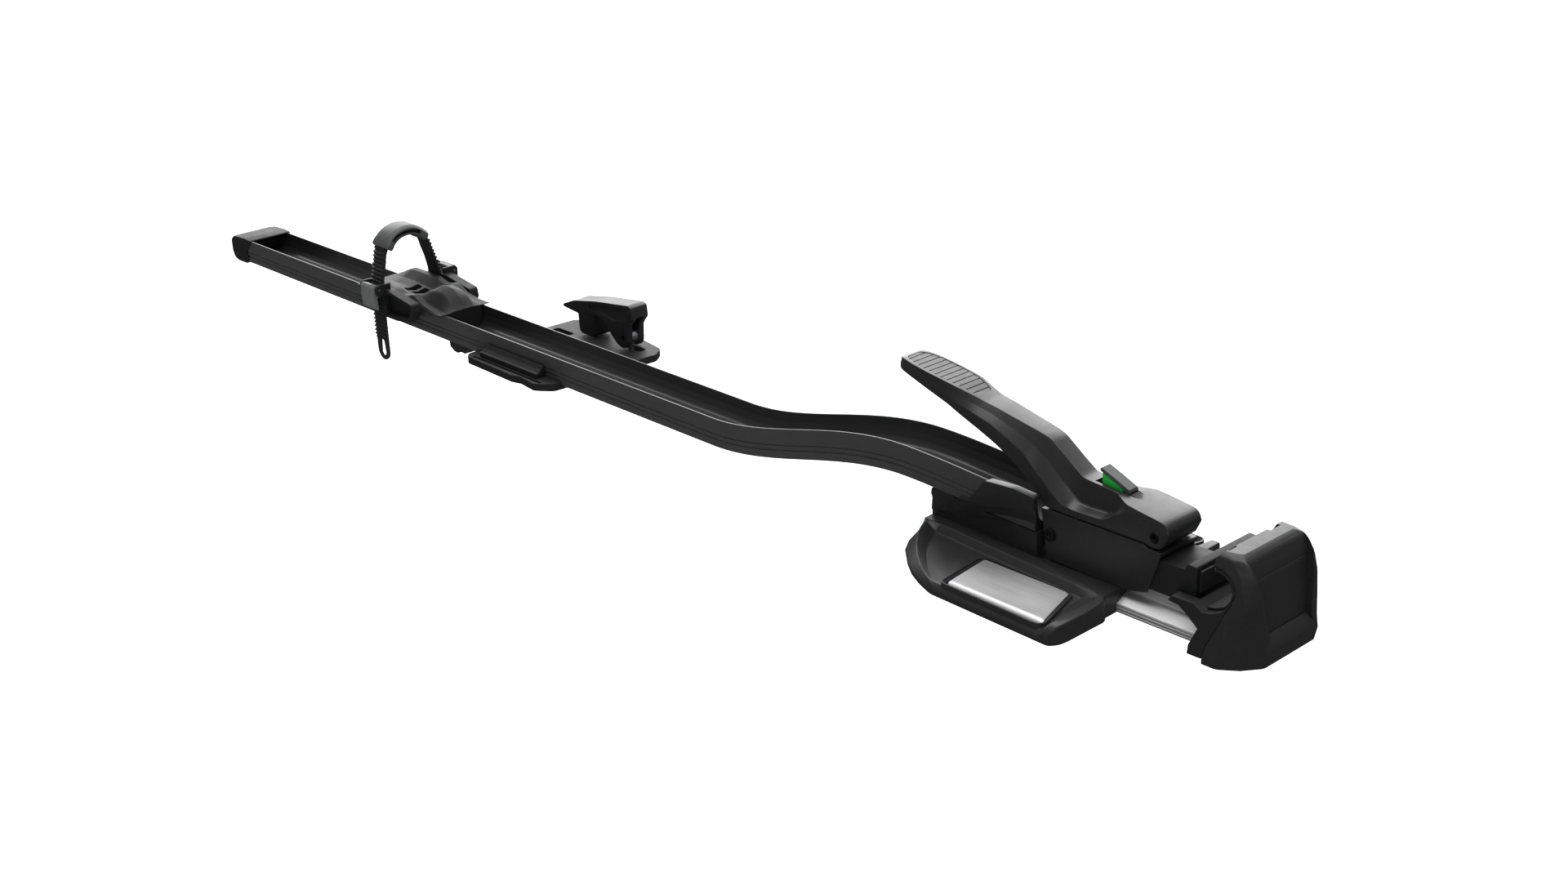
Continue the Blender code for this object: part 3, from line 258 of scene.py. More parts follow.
def takeMesh(piece):
    # a worked piece as raw geometry for the next step
    bm = bmesh.new()
    bm.from_mesh(piece.data)
    mesh = piece.data
    bpy.data.objects.remove(piece)
    bpy.data.meshes.remove(mesh)
    return bm


def mirrored(bm):
    # the same shape on the far side
    twin = bm.copy()
    bmesh.ops.scale(twin, vec=(1, -1, 1), verts=twin.verts)
    return closeUp(twin)


def rawPiece(name, bm):
    mesh = bpy.data.meshes.new(name)
    bm.to_mesh(mesh)
    bm.free()
    piece = bpy.data.objects.new(name, mesh)
    scene.collection.objects.link(piece)
    return piece


def applyModifiers(piece):
    bpy.context.view_layer.update()
    graph = bpy.context.evaluated_depsgraph_get()
    mesh = bpy.data.meshes.new_from_object(piece.evaluated_get(graph))
    piece.modifiers.clear()
    old = piece.data
    piece.data = mesh
    bpy.data.meshes.remove(old)


def combine(piece, operation, *tools):
    for bm in tools:
        tool = rawPiece("tool", bm)
        step = piece.modifiers.new("step", "BOOLEAN")
        step.operation, step.solver, step.object = operation, "EXACT", tool
        applyModifiers(piece)
        mesh = tool.data
        bpy.data.objects.remove(tool)
        bpy.data.meshes.remove(mesh)
    return piece


def carve(piece, *tools):
    return combine(piece, "DIFFERENCE", *tools)


def weldOn(piece, *tools):
    return combine(piece, "UNION", *tools)


def clip(piece, *tools):
    return combine(piece, "INTERSECT", *tools)


def roundEdges(piece, width, segments, angle):
    bm = bmesh.new()
    bm.from_mesh(piece.data)
    bmesh.ops.remove_doubles(bm, verts=bm.verts, dist=0.00002)
    bmesh.ops.dissolve_limit(bm, angle_limit=math.radians(0.6), verts=bm.verts, edges=bm.edges)
    bm.to_mesh(piece.data)
    bm.free()
    edge = piece.modifiers.new("edge", "BEVEL")
    edge.width, edge.segments = width * mm, segments
    edge.limit_method, edge.angle_limit = "ANGLE", math.radians(angle)
    edge.miter_outer = "MITER_ARC"
    edge.use_clamp_overlap = True
    applyModifiers(piece)
    return piece


def finishPiece(piece, paint, body, slot, *nodes, sharp=34):
    piece.data.materials.clear()
    piece.data.materials.append(paint)
    piece.data.shade_smooth()
    piece.data.set_sharp_from_angle(angle=math.radians(sharp))
    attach(piece, body)
    if nodes:
        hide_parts(*nodes)
    return piece


def smoothStep(t):
    t = min(max(t, 0.0), 1.0)
    return t * t * (3 - 2 * t)


def along(table, x):
    # the row of a table at a place between two of its stations
    for one, other in zip(table, table[1:]):
        if x <= other[0]:
            t = max((x - one[0]) / (other[0] - one[0]), 0.0)
            return [a + (b - a) * t for a, b in zip(one, other)]
    return list(table[-1])


def eased(table, x, reach):
    # the same row, averaged a little way to both sides so that bends are soft
    rows = [along(table, x + reach * step / 3) for step in (-3, -2, -1, 0, 1, 2, 3)]
    weights = (1, 2, 3, 4, 3, 2, 1)
    return [sum(row[i] * w for row, w in zip(rows, weights)) / 16 for i in range(len(table[0]))]


# wheel tray

tray = {
    "tail": -1213.0, "front": 0.0, "low": 3.1, "rise": 40.0, "bendStart": -370.0, "bendEnd": -135.0,
    "drop": 5.5, "height": 26.6, "half": 25.0, "bendSteps": 56,
    "section": [(17.2, 6.1), (20.4, 11.5), (21.9, 18.0), (22.7, 25.6), (23.0, 26.6), (24.1, 26.6),
                (24.4, 26.2), (25, 13.1), (24.2, 12.9), (24.2, 11.9), (25, 11.7), (25, 8.8), (24.2, 8.6),
                (24.2, 7.4), (25, 7.2), (25, 1.2), (23.6, 0)],
    "radii": [5.0, 4.0, 6.0, 0.5, 0.5, 0.4, 0.5, 0.3, 0.3, 0.3, 0.3, 0.3, 0.3, 0.3, 0.3, 1.2, 1.2],
}


def trayUnder(x):
    rise = tray["rise"] * smoothStep((x - tray["bendStart"]) / (tray["bendEnd"] - tray["bendStart"]))
    drop = tray["drop"] * smoothStep((x - tray["bendEnd"]) / (tray["front"] - tray["bendEnd"]))
    return tray["low"] + rise - drop


def trayRing(x, outline):
    slope = math.atan((trayUnder(x + 1) - trayUnder(x - 1)) / 2)
    if x <= tray["bendStart"] or x >= tray["front"]:
        slope = 0.0
    return [(x - math.sin(slope) * z, y, trayUnder(x) + math.cos(slope) * z) for y, z in outline]


def evenSteps(start, end, steps):
    return [start + (end - start) * step / steps for step in range(steps + 1)]


def makeTray(paints):
    radii = tray["radii"] + list(reversed(tray["radii"]))
    outline = rounded(bothSides(tray["section"]), radii, 3)
    places = evenSteps(tray["tail"], tray["bendStart"], 10)[:-1]
    places += evenSteps(tray["bendStart"], tray["bendEnd"], tray["bendSteps"])
    places += evenSteps(tray["bendEnd"], tray["front"], 20)[1:]
    piece = rawPiece("trayChannel", skin([trayRing(x, outline) for x in places]))
    finishPiece(piece, paints["anodisedBlack"], "carrier", "anodised_black", "wheel_tray", sharp=50)


def trayRoom(start, end, gap, lid=0.0):
    # the space that the tray takes, with a little air round it
    side = tray["half"] + gap
    outline = [(-side, -gap), (side, -gap), (side, tray["height"] + gap + lid),
               (-side, tray["height"] + gap + lid)]
    return skin([trayRing(x, outline) for x in evenSteps(start, end, 24)])


# front foot: a body under the tray, two wings with a window each, and the cheeks round the lips

foot = {
    # y at the rear and front end, rear x, wall height, wall top x, wall foot x, floor height,
    # shelf foot x, shelf top x, shelf height, front x
    "lanes": [
        (14, 14, -112, 17, -110, -90, 17, 50, 70, 17, 80),
        (28, 41, -112, 17, -109.5, -90, 17, 50, 70, 17, 80.6),
        (28.8, 42, -112, 17, -109, -92, 16.2, 52, 73, 16.8, 82),
        (31.5, 45, -111.6, 17, -107, -93, 11.2, 60, 75, 16.4, 83.5),
        (34, 47, -111.2, 17, -105, -92, 10.6, 61, 75, 16.2, 84),
        (48.5, 56, -108, 16.4, -97, -85, 10.3, 62, 75, 15.6, 84),
        (62, 66, -99, 13.4, -87, -76, 10.0, 63, 74, 15.0, 84),
        (74, 77, -85.5, 11.6, -74, -64, 9.7, 65, 74, 14.9, 84),
        (84, 87, -71.5, 10.2, -61, -53, 9.3, 67, 75, 15.0, 84),
        (91.0, 93.5, -58, 9.3, -49, -43, 9.0, 69, 75, 15.0, 83.2),
        (94.0, 97.0, -50, 8.8, -42, -38, 8.8, 69, 74, 13.4, 81.8),
        (96.6, 100.6, -42, 5.8, -36, -33, 5.8, 67, 72, 8.6, 79),
        (97.4, 102.0, -38, 3.4, -33, -30, 3.4, 65, 70, 4.2, 76.5),
        (97.2, 101.8, -38, 0.6, -33, -30, 0.6, 65, 70, 0.7, 76.5),
    ],
    "window": [(-33, 44.6), (50, 47.2), (65.5, 96.5), (-27, 94)],
    "windowCentre": (14, 70), "rim": 4.2, "lightWell": 1.2, "groove": 2.6,    # how far each ring stands out
    "railHalf": [(27.4, -1), (27.4, 7.4), (13.8, 12.7), (13.1, 13.4), (13.1, 23.4)],
    "boltPlaces": (-45.0, 30.0), "boltRoom": 8.0,
    "shoulder": [(-112, 20.5, 36.0), (-100, 22.0, 39.0), (-86, 24.0, 41.5), (-74, 26.6, 44.0),
                 (-66, 27.6, 45.5), (-50, 28.0, 47.2), (-40, 28.1, 49.2), (-20, 28.2, 54.0), (-7, 28.3, 57.0),
                 (2, 28.3, 58.6)],
    "shoulderRadii": [1, 1, 1, 3, 8, 5, 2.5, 0.6, 1],
    "cheek": [(-63, 47), (-47, 66.8), (-20, 68.6), (1.4, 67.0), (1.4, 56.5), (-20, 52), (-40, 47), (-56, 44)],
}


def makeWing():
    rings = []
    for lane in foot["lanes"]:
        yRear, yFront, rear, wall, wallTop, wallFoot, floor, shelfFoot, shelfTop, shelf, front = lane
        side = [(rear + 1, 0), (rear, min(4.0, wall * 0.5)), (wallTop, wall), (wallTop + 1.2, wall),
                (wallFoot, floor), (shelfFoot, floor), (shelfTop, shelf), (front - 1, shelf), (front, 0)]
        side = rounded(side, [0.1, 1.2, 0.8, 0.8, 5, 5, 2.5, 1.6, 0.1], 4)
        rings.append([(x, -(yRear + (yFront - yRear) * (x + 112) / 192), z) for x, z in side])
    return skin(rings)


def windowRing(grow):
    centre = Vector(foot["windowCentre"])
    points = [Vector(place) for place in foot["window"]]
    return rounded([tuple(p + (p - centre).normalized() * grow * 1.35) for p in points], 4 + grow, 5)


def makeFoot(paints):
    piece = rawPiece("footMoulding", makeWing())
    weldOn(piece, mirrored(makeWing()))
    rings = []
    for x in evenSteps(-110.5, 1.8, 34):
        row = eased(foot["shoulder"], x, 6)
        half, top = row[1], row[2]
        out = 18.5 + 5.5 * (x + 112) / 114
        outline = [(10, 12), (out, 12), (out, 17.5), (out + 0.4, 22), (out + 1.2, top - 16),
                   (half - 2.0, top - 6), (half - 0.6, top - 1.5), (half - 1.2, top + 2.4), (10, top + 2.4)]
        outline = rounded(bothSides(outline), foot["shoulderRadii"] * 2, 4)
        rings.append([(x, y, z) for y, z in outline])
    weldOn(piece, skin(rings))
    beads = []
    for sign in (1, -1):
        ring = [(x, -y) for x, y in windowRing(foot["rim"])]
        bead = slab(ring, "xy", 5, 12.0)
        beads.append(bead if sign > 0 else mirrored(bead))
    weldOn(piece, *beads)
    for sign in (1, -1):
        hole = slab([(x, -y) for x, y in windowRing(foot["lightWell"])], "xy", 3.0, 30)
        groove = slab([(x, -y) for x, y in windowRing(foot["groove"])], "xy", 10.6, 30)
        carve(piece, *((hole, groove) if sign > 0 else (mirrored(hole), mirrored(groove))))
    carve(piece, slab(bothSides(foot["railHalf"]), "yz", -66.4, 120),
          block((2.4, -21.6, 15.6), (120, 21.6, 30)), trayRoom(-135, 12, 0.35, 14))
    for x in foot["boltPlaces"]:
        carve(piece, rod((x, 0, 27), foot["boltRoom"], 12, (0, 0, 1)))
    roundEdges(piece, 0.9, 2, 38)
    finishPiece(piece, paints["shellBlack"], "carrier", "moulded_black", "front_foot")

    for name, sign in (("near", 1), ("far", -1)):
        cheek = slab(rounded(foot["cheek"], [2, 6, 3, 2, 2, 8, 8, 3], 4), "xz", -28.4, -20.9)
        piece = rawPiece("lipCheek_" + name, cheek if sign > 0 else mirrored(cheek))
        carve(piece, trayRoom(-90, 12, 0.3))
        roundEdges(piece, 1.3, 3, 38)
        finishPiece(piece, paints["shellBlack"], "carrier", "moulded_black", "tray_collar_" + name)


wearPlate = {
    # section across the wing with its rolled outer edge; the plate widens outwards
    "top": [(44.9, 11.6), (60, 11.6), (80, 11.5), (87.5, 11.3)],
    "roll": ((87.6, 5.6), 5.8, 84, 8, 8),
    "under": [(92.4, 5.0), (60, 6.6), (45, 6.8)],
    "inner": (-32.6, 50.0, 44.6), "outer": (-26.6, 65.6, 95.5),     # rear end, front end, place across
}


def makeWearPlates(paints):
    profile = wearPlate["top"] + arcPoints(*wearPlate["roll"]) + wearPlate["under"]
    rearIn, frontIn, start = wearPlate["inner"]
    rearOut, frontOut, stop = wearPlate["outer"]
    rings = []
    for t in (0.0, 0.03, 0.5, 0.97, 1.0):
        low = 0.8 if t in (0.0, 1.0) else 0.0
        ring = []
        for y, z in profile:
            share = (y - start) / (stop - start)
            rear, front = rearIn + (rearOut - rearIn) * share, frontIn + (frontOut - frontIn) * share
            ring.append((rear + (front - rear) * t, -y, z - low))
        rings.append(ring)
    for name, sign in (("near", 1), ("far", -1)):
        bm = skin(rings)
        piece = rawPiece("wearPlate_" + name, bm if sign > 0 else mirrored(bm))
        finishPiece(piece, paints["satinMetal"], "carrier", "satin_metal", name + "_wear_plate", sharp=40)


# hand lever with its ribbed grip

lever = {
    # place along X, half width, underside, ridge height, half width of the top, top height, dish
    "stations": [
        (-156.0, 3.0, 129.0, 130.6, 2.0, 132.4, 0), (-154.5, 8.0, 127.4, 130.2, 6.4, 134.4, 0),
        (-151.5, 11.0, 126.6, 130.0, 9.6, 136.4, 0), (-147.0, 13.4, 126.2, 129.8, 12.4, 136.9, 0),
        (-137.0, 15.8, 124.6, 128.8, 14.8, 135.8, 0), (-119.0, 16.6, 119.3, 124.6, 15.8, 133.2, 0),
        (-96.0, 17.4, 112.6, 119.4, 15.4, 129.7, 0), (-88.0, 18.3, 110.0, 117.8, 14.9, 128.2, 0),
        (-72.0, 19.4, 104.8, 114.8, 11.4, 123.8, 0), (-64.0, 19.8, 102.2, 113.2, 10.2, 121.6, 0),
        (-50.0, 20.0, 96.8, 110.0, 9.8, 119.2, 0), (-31.0, 20.0, 88.0, 102.0, 9.3, 115.2, 0),
        (-15.0, 20.0, 77.4, 94.0, 8.8, 112.0, 0), (-4.5, 20.0, 69.0, 84.0, 8.5, 109.6, 0),
        (1.5, 20.0, 62.4, 79.0, 8.4, 107.4, 0), (5.0, 20.0, 58.4, 75.8, 8.4, 104.8, 0),
        (20.0, 20.0, 57.9, 64.6, 8.4, 94.0, 0.15), (31.0, 20.0, 57.9, 63.8, 8.6, 86.6, 0.85),
        (38.0, 20.0, 57.9, 63.8, 8.6, 85.6, 1), (58.0, 20.0, 57.9, 64.6, 8.8, 84.2, 1),
        (64.0, 20.0, 57.9, 67.0, 9.6, 83.8, 0.9), (72.0, 20.0, 57.9, 73.2, 14.6, 83.2, 0.4),
        (79.0, 20.0, 57.9, 76.0, 18.4, 82.4, 0), (90.0, 20.0, 57.9, 76.2, 19.0, 81.0, 0),
        (97.0, 20.0, 57.9, 75.4, 19.1, 80.1, 0), (101.0, 20.0, 56.7, 75.0, 19.1, 79.6, 0),
        (105.5, 20.0, 55.9, 74.6, 19.1, 79.0, 0), (110.0, 20.0, 57.2, 74.0, 19.1, 78.3, 0),
        (113.0, 20.0, 59.8, 73.0, 19.1, 77.4, 0), (115.2, 19.9, 64.2, 71.8, 19.0, 75.8, 0),
        (116.6, 19.7, 67.0, 71.0, 18.8, 73.8, 0), (117.4, 19.4, 69.0, 70.4, 18.6, 71.8, 0),
    ],
    "gripLine": [(-149, 137.1), (-137, 135.8), (-119, 133.2), (-96, 129.7), (-88, 128.2), (-73, 124.1)],
    "gripPlan": [(-147.5, 7.0), (-141, 11.2), (-128, 13.4), (-110, 13.9), (-92, 13.0), (-80, 10.4),
                 (-72.5, 7.6)],
    "grooves": 12, "grooveWidth": 0.95, "grooveEnds": (-143.5, -76.5), "pivot": (105.5, 0, 65.0), "pin": 4.1,
}


def gripTop(x):
    return along(lever["gripLine"], x)[1]


def gripArea(inset):
    half = [(x + (inset if x < -100 else -inset), y - inset) for x, y in lever["gripPlan"]]
    return rounded([(x, -y) for x, y in half] + list(reversed(half)), 3, 4)


def gripSlab(high, low, inset):
    places = evenSteps(-149, -70, 40)
    profile = [(x, gripTop(x) + high) for x in places] + [(x, gripTop(x) + low) for x in reversed(places)]
    return clip(rawPiece("grip", slab(profile, "xz", -17, 17)), slab(gripArea(inset), "xy", 90, 160))


def leverRing(row):
    x, wide, under, ridge, top, height, dish = row
    middle = Vector((top + (wide - top) * 0.42, ridge + (height - ridge) * 0.5))
    corner = Vector((top + 1.4, ridge + 1.6))
    bend = middle.lerp(corner, dish)
    half = [(wide - 0.9, under), (wide, under + 0.9), (wide, ridge), tuple(bend), (top, height)]
    radii = [0.5, 0.5, 0.45, 3.0, 0.45] + [0.45, 3.0, 0.45, 0.5, 0.5]
    return [(x, y, z) for y, z in rounded(bothSides(half), radii, 4)]


def makeLever(paints):
    stations = lever["stations"]
    places = [row[0] for row in stations[:4]] + evenSteps(-144, 100, 122)
    rows = [along(stations, x) if x < -140 or x > 100 else [x] + eased(stations, x, 1.6)[1:]
            for x in places + [row[0] for row in stations if row[0] > 100]]
    piece = rawPiece("handLever", skin([leverRing(row) for row in rows]))
    fan = arcPoints((105.5, 65.0), 9.0, -13, 216, 28) + [(88, 57.4), (88, 50), (130, 50), (130, 59.4)]
    carve(piece, slab(fan, "xz", -8.4, 8.4))
    carve(piece, takeMesh(gripSlab(5, -1.7, 0)))
    carve(piece, rod(lever["pivot"], lever["pin"], 60, (0, 1, 0), 40))
    carve(piece, block((40.0, -5.6, 77.2), (72.5, 5.6, 110)))
    for index in range(5):     # fine ribs ahead of the flap, each a thin wedge that runs out in the deck
        y = -4.0 + 2.0 * index
        end = 83.0 - abs(index - 1) * 1.8
        top = along(stations, 73.0)[5]
        low = along(stations, end)[5]
        wedge = [(73.0, top - 2), (73.0, top + 0.9), (end, low - 0.05), (end, low - 2)]
        weldOn(piece, slab(wedge, "xz", y - 0.28, y + 0.28))
    finishPiece(piece, paints["mouldedBlack"], "lever", "moulded_black", "front_lever", sharp=24)

    pad = gripSlab(-0.35, -1.5, 0.35)
    pad.name = "gripPad"
    start, end = lever["grooveEnds"]
    for index in range(lever["grooves"]):
        x = start + (end - start) * index / (lever["grooves"] - 1)
        z = gripTop(x)
        half = lever["grooveWidth"] / 2
        carve(pad, slab([(x - half, z - 1.25), (x + half, z - 1.25), (x + half, z + 2), (x - half, z + 2)],
                        "xz", -20, 20))
    finishPiece(pad, paints["gripGrey"], "lever", "moulded_black", "lever_grip_pad", sharp=30)


# fork head

head = {
    "front": [(207.0, 2.0), (209.6, 3.6), (211.4, 13.5), (209, 23), (206.8, 39), (205, 55), (201.4, 68),
              (196, 77.5), (187, 82.3)],
    "frontRadii": [0.1, 2, 5, 30, 30, 30, 24, 16, 0.1],
    "rear": [(172.6, -5), (172.6, 5.2), (174.6, 15.4), (188.9, 48.9), (191.2, 58.6), (186.8, 67.2),
             (178.8, 72.1), (170.8, 72.5), (170.8, 76.0), (174.8, 82.6), (174.8, 95), (130, 95), (130, -5)],
    "rearRadii": [0.1, 1, 10, 12, 8, 8, 5, 0.6, 3, 1, 0.1, 0.1, 0.1],
    # height, half width at the rear, then the corners of the half plan: side end, chamfer start, front
    "plan": [(0, 51.6, 184, 197, 42, 29), (7, 52.4, 186, 199.5, 42, 29.5), (20, 50.4, 187, 201, 42, 31),
             (45, 46.5, 188, 200.5, 42, 34.2), (64, 43, 182, 194.5, 40.2, 35.2),
             (70, 41.2, 179, 191, 39.4, 35), (78, 38.6, 173, 184, 38.0, 34.6),
             (83, 37.4, 168, 178, 36.8, 34)],
    "crown": (77.6, 4.7),      # where the sides start to round over, and their radius
    "panelLine": [(189.0, 82.6), (193.2, 77.6), (196.2, 70), (198.4, 62), (201.6, 46), (205.0, 25.5)],
    "panelSides": [(34.0, 84), (32.6, 66), (24.6, 25.5), (26.8, 18.4)],
}


def headBody():
    rings = []
    start, radius = head["crown"]
    line = [(150, 2.0)] + head["front"] + [(150, 82.3)]
    for front, z in rounded(line, [0.1] + head["frontRadii"] + [0.1], 7):
        if front < 180:
            continue
        row = along(head["plan"], z)
        inset = radius - math.sqrt(max(radius ** 2 - max(z - start, 0) ** 2, 0.0))
        half = [(130, row[1] - inset), (row[2], row[1] - inset), (min(row[3], front - 4.5), row[4] - inset),
                (front, row[5] - inset)]
        outline = rounded(half + [(x, -y) for x, y in reversed(half)], [0.1, 10, 7, 3.5, 3.5, 7, 10, 0.1], 5)
        rings.append([(x, y, z) for x, y in outline])
    return skin(rings)


def panelPlate(grow, depth, lift):
    heights = [66 + grow + (26.4 - 66 - 2 * grow) * step / 12 for step in range(13)]
    table = sorted((z, x) for x, z in head["panelLine"])
    face = [(along(table, z)[1], z) for z in heights]
    side = [(x + lift, z) for x, z in face] + [(x - depth, z) for x, z in reversed(face)]
    half = [(32.3 + grow, 66 + grow), (24.2 + grow, 26.4 - grow)]
    front = rounded(bothSides(half), [2.5, 1.5, 1.5, 2.5], 4)
    return takeMesh(clip(rawPiece("plate", slab(side, "xz", -60, 60)), slab(front, "yz", 150, 250)))


def makeHead(paints):
    piece = rawPiece("headCover", headBody())
    carve(piece, slab(rounded(head["rear"], head["rearRadii"], 6), "xz", -70, 70))
    line = head["panelLine"]
    room = line + [(211.0, 18.4), (240, 18.4), (240, 90), (189, 90)]
    recess = rawPiece("recess", slab(rounded(room, [0.5, 6, 6, 20, 20, 1.5, 1, 1, 1, 1], 4), "xz", -60, 60))
    carve(piece, takeMesh(clip(recess, slab(bothSides(head["panelSides"]), "yz", 150, 250))))
    carve(piece, block((173.6, -31, 78), (176.2, -22, 90)), block((160, 15, 76.5), (177.5, 27, 90)))
    carve(piece, panelPlate(0.35, 1.8, 1.0))
    finishPiece(piece, paints["shellBlack"], "carrier", "moulded_black", "head_shell")

    panel = rawPiece("facePanel", panelPlate(0.0, 1.4, 0.0))
    roundEdges(panel, 0.4, 2, 40)
    finishPiece(panel, paints["shellBlack"], "carrier", "moulded_black", "head_face_panel")


# wheel cradle, strap and rim pad

cradle = {
    # place along X, height in the middle, height at the sides
    "saddle": [(-938, 30.6, 31.0), (-930, 31.0, 33.0), (-922, 32.0, 37.5), (-911, 33.0, 42.0),
               (-888, 33.0, 42.2), (-862, 31.0, 41.6), (-850, 30.6, 38.5), (-842, 33.0, 39.0),
               (-832, 38.5, 42.0),
               (-824, 45.5, 39.0), (-816, 48.8, 35.0), (-806, 49.8, 33.2), (-798, 48.6, 32.2),
               (-790, 43.0, 31.4), (-784, 35.5, 31.1), (-780, 31.0, 31.0)],
    "shelf": 30.0, "half": 30.4, "windows": (-875, -861, -847), "strapX": -880.0,
}

strap = {
    "near": [(-39.4, -37.6), (-39.5, -24), (-39.5, -10), (-39.4, 2), (-39.4, 14), (-39.4, 26), (-38.9, 39),
             (-37.4, 52), (-35.2, 61)],
    "arch": (-4.5, 68.5, 28.5),
    "far": [(27.2, 62), (29.6, 52), (31.8, 41), (33.4, 30), (34.2, 21)],
    "x": -880.0, "width": 20.6, "thick": 1.9, "pitch": 4.2, "tooth": 1.7, "bareTail": 24.0, "bareEnd": 8.0,
    "toothForm": (0.0, 0.1, 1.0, 0.9), "tailCentre": -27, "pullHole": ((-28.5, 4.4), (-17.5, 3.2)),
}


def saddleRing(x, middle, side):
    half, shelf = cradle["half"], cradle["shelf"]
    top = max(side, shelf + 1.0)
    outline = [(16.6, 9.7), (19.9, 17.2), (20.8, shelf), (half, shelf), (half, max(top - 2.5, shelf + 0.6)),
               (half - 2.2, top), (21.5, top - 0.3), (11.5, middle + (top - middle) * 0.25), (0.6, middle)]
    radii = [1, 2, 0.5, 0.4, 1.2, 1.6, 3, 6, 0.3]
    return [(x, y, z) for y, z in rounded(bothSides(outline), radii + list(reversed(radii)), 4)]


def makeCradle(paints):
    table = cradle["saddle"]
    places = evenSteps(table[0][0], table[-1][0], 64)
    piece = rawPiece("cradleSaddle", skin([saddleRing(*([x] + eased(table, x, 3)[1:])) for x in places]))
    for x in cradle["windows"]:
        outline = rounded([(x - 5, -9), (x + 5, -9), (x + 5, 9), (x - 5, 9)], 2, 3)
        carve(piece, slab(outline, "xy", 0, 60))
    for sign in (-1, 1):
        low, high = sorted((sign * 29.2, sign * 45))
        carve(piece, block((cradle["strapX"] - 12, low, 0), (cradle["strapX"] + 12, high, 70)))
    finishPiece(piece, paints["dullBlack"], "cradle", "moulded_black", "wheel_cradle")


def evenly(points, pitch):
    # points at an even pitch along a line, with the outward side and the length so far
    lengths = [0.0]
    for one, other in zip(points, points[1:]):
        lengths.append(lengths[-1] + math.dist(one, other))
    count = int(lengths[-1] / pitch)
    result = []
    for step in range(count + 1):
        want = lengths[-1] * step / count
        index = max(i for i in range(len(points) - 1) if lengths[i] <= want + 1e-9)
        t = (want - lengths[index]) / (lengths[index + 1] - lengths[index])
        one, other = Vector(points[index]), Vector(points[index + 1])
        ahead = (other - one).normalized()
        result.append((one.lerp(other, t), Vector((-ahead.y, ahead.x)), want))
    return result


def makeStrap(paints):
    y, z, radius = strap["arch"]
    line = strap["near"] + arcPoints((y, z), radius, 178, 8, 24) + strap["far"]
    outer, inner = [], []
    places = evenly(line, strap["pitch"] / 4)
    total = places[-1][2]
    for index, (place, side, want) in enumerate(places):
        toothed = strap["bareTail"] < want < total - strap["bareEnd"]
        rise = strap["toothForm"][index % 4] * strap["tooth"] if toothed else 0.0
        outer.append(tuple(place + side * (strap["thick"] / 2 + rise)))
        inner.append(tuple(place - side * strap["thick"] / 2))
    half = strap["width"] / 2
    x = strap["x"]
    piece = rawPiece("ladderStrap", slab(outer + list(reversed(inner)), "yz", x - half, x + half))
    tail = strap["tailCentre"]
    plan = [(x - half, 120), (x - half, tail), *arcPoints((x, tail), half, 180, 360, 16), (x + half, 120)]
    clip(piece, slab(plan, "xz", -60, 60))
    (low, wide), (high, narrow) = strap["pullHole"]
    hole = arcPoints((x, low), wide, 180, 360, 10) + arcPoints((x, high), narrow, 0, 180, 10)
    carve(piece, slab(hole, "xz", -46, -28))
    finishPiece(piece, paints["strapBlack"], "cradle", "strap_black", "wheel_strap")


rimPad = {
    # angle round the wheel, outer radius, half width
    "lanes": [(37.5, 31.0, 12.8), (39.5, 33.6, 15.0), (45, 34.0, 15.6), (56, 34.4, 14.4), (72, 35.0, 13.8),
              (94, 35.2, 13.8), (116, 35.0, 13.8), (132, 34.4, 14.4), (143, 34.0, 15.6), (148.5, 33.6, 15.0),
              (150.5, 31.0, 12.8)],
    "inner": 24.8, "channel": (27.0, 30.9, 10.8), "window": (58, 130),
}


def makeRimPad(paints):
    y, z, _ = strap["arch"]
    x, inner = strap["x"], rimPad["inner"]
    table = rimPad["lanes"]
    rings = []
    for angle in [37.5, 38.3] + evenSteps(39.5, 148.5, 34) + [149.7, 150.5]:
        _, outer, half = along(table, angle)
        outline = rounded([(-half, inner), (half, inner), (half, outer - 2.8), (half - 3.4, outer),
                           (-half + 3.4, outer), (-half, outer - 2.8)], [1.2, 1.2, 2.2, 4, 4, 2.2], 4)
        cos, sin = math.cos(math.radians(angle)), math.sin(math.radians(angle))
        rings.append([(x + u, y + r * cos, z + r * sin) for u, r in outline])
    piece = rawPiece("rimPadSoft", skin(rings))
    low, high, half = rimPad["channel"]
    for start, end, near in ((30, 160, -half), (*rimPad["window"], half - 1)):
        room = arcPoints((y, z), high, start, end, 24) + arcPoints((y, z), low, end, start, 24)
        carve(piece, slab(room, "yz", x + near, x + (half if near < 0 else 20)))
    finishPiece(piece, paints["padGrey"], "pad", "pad_grey", "rim_pad")


# rear cam lever

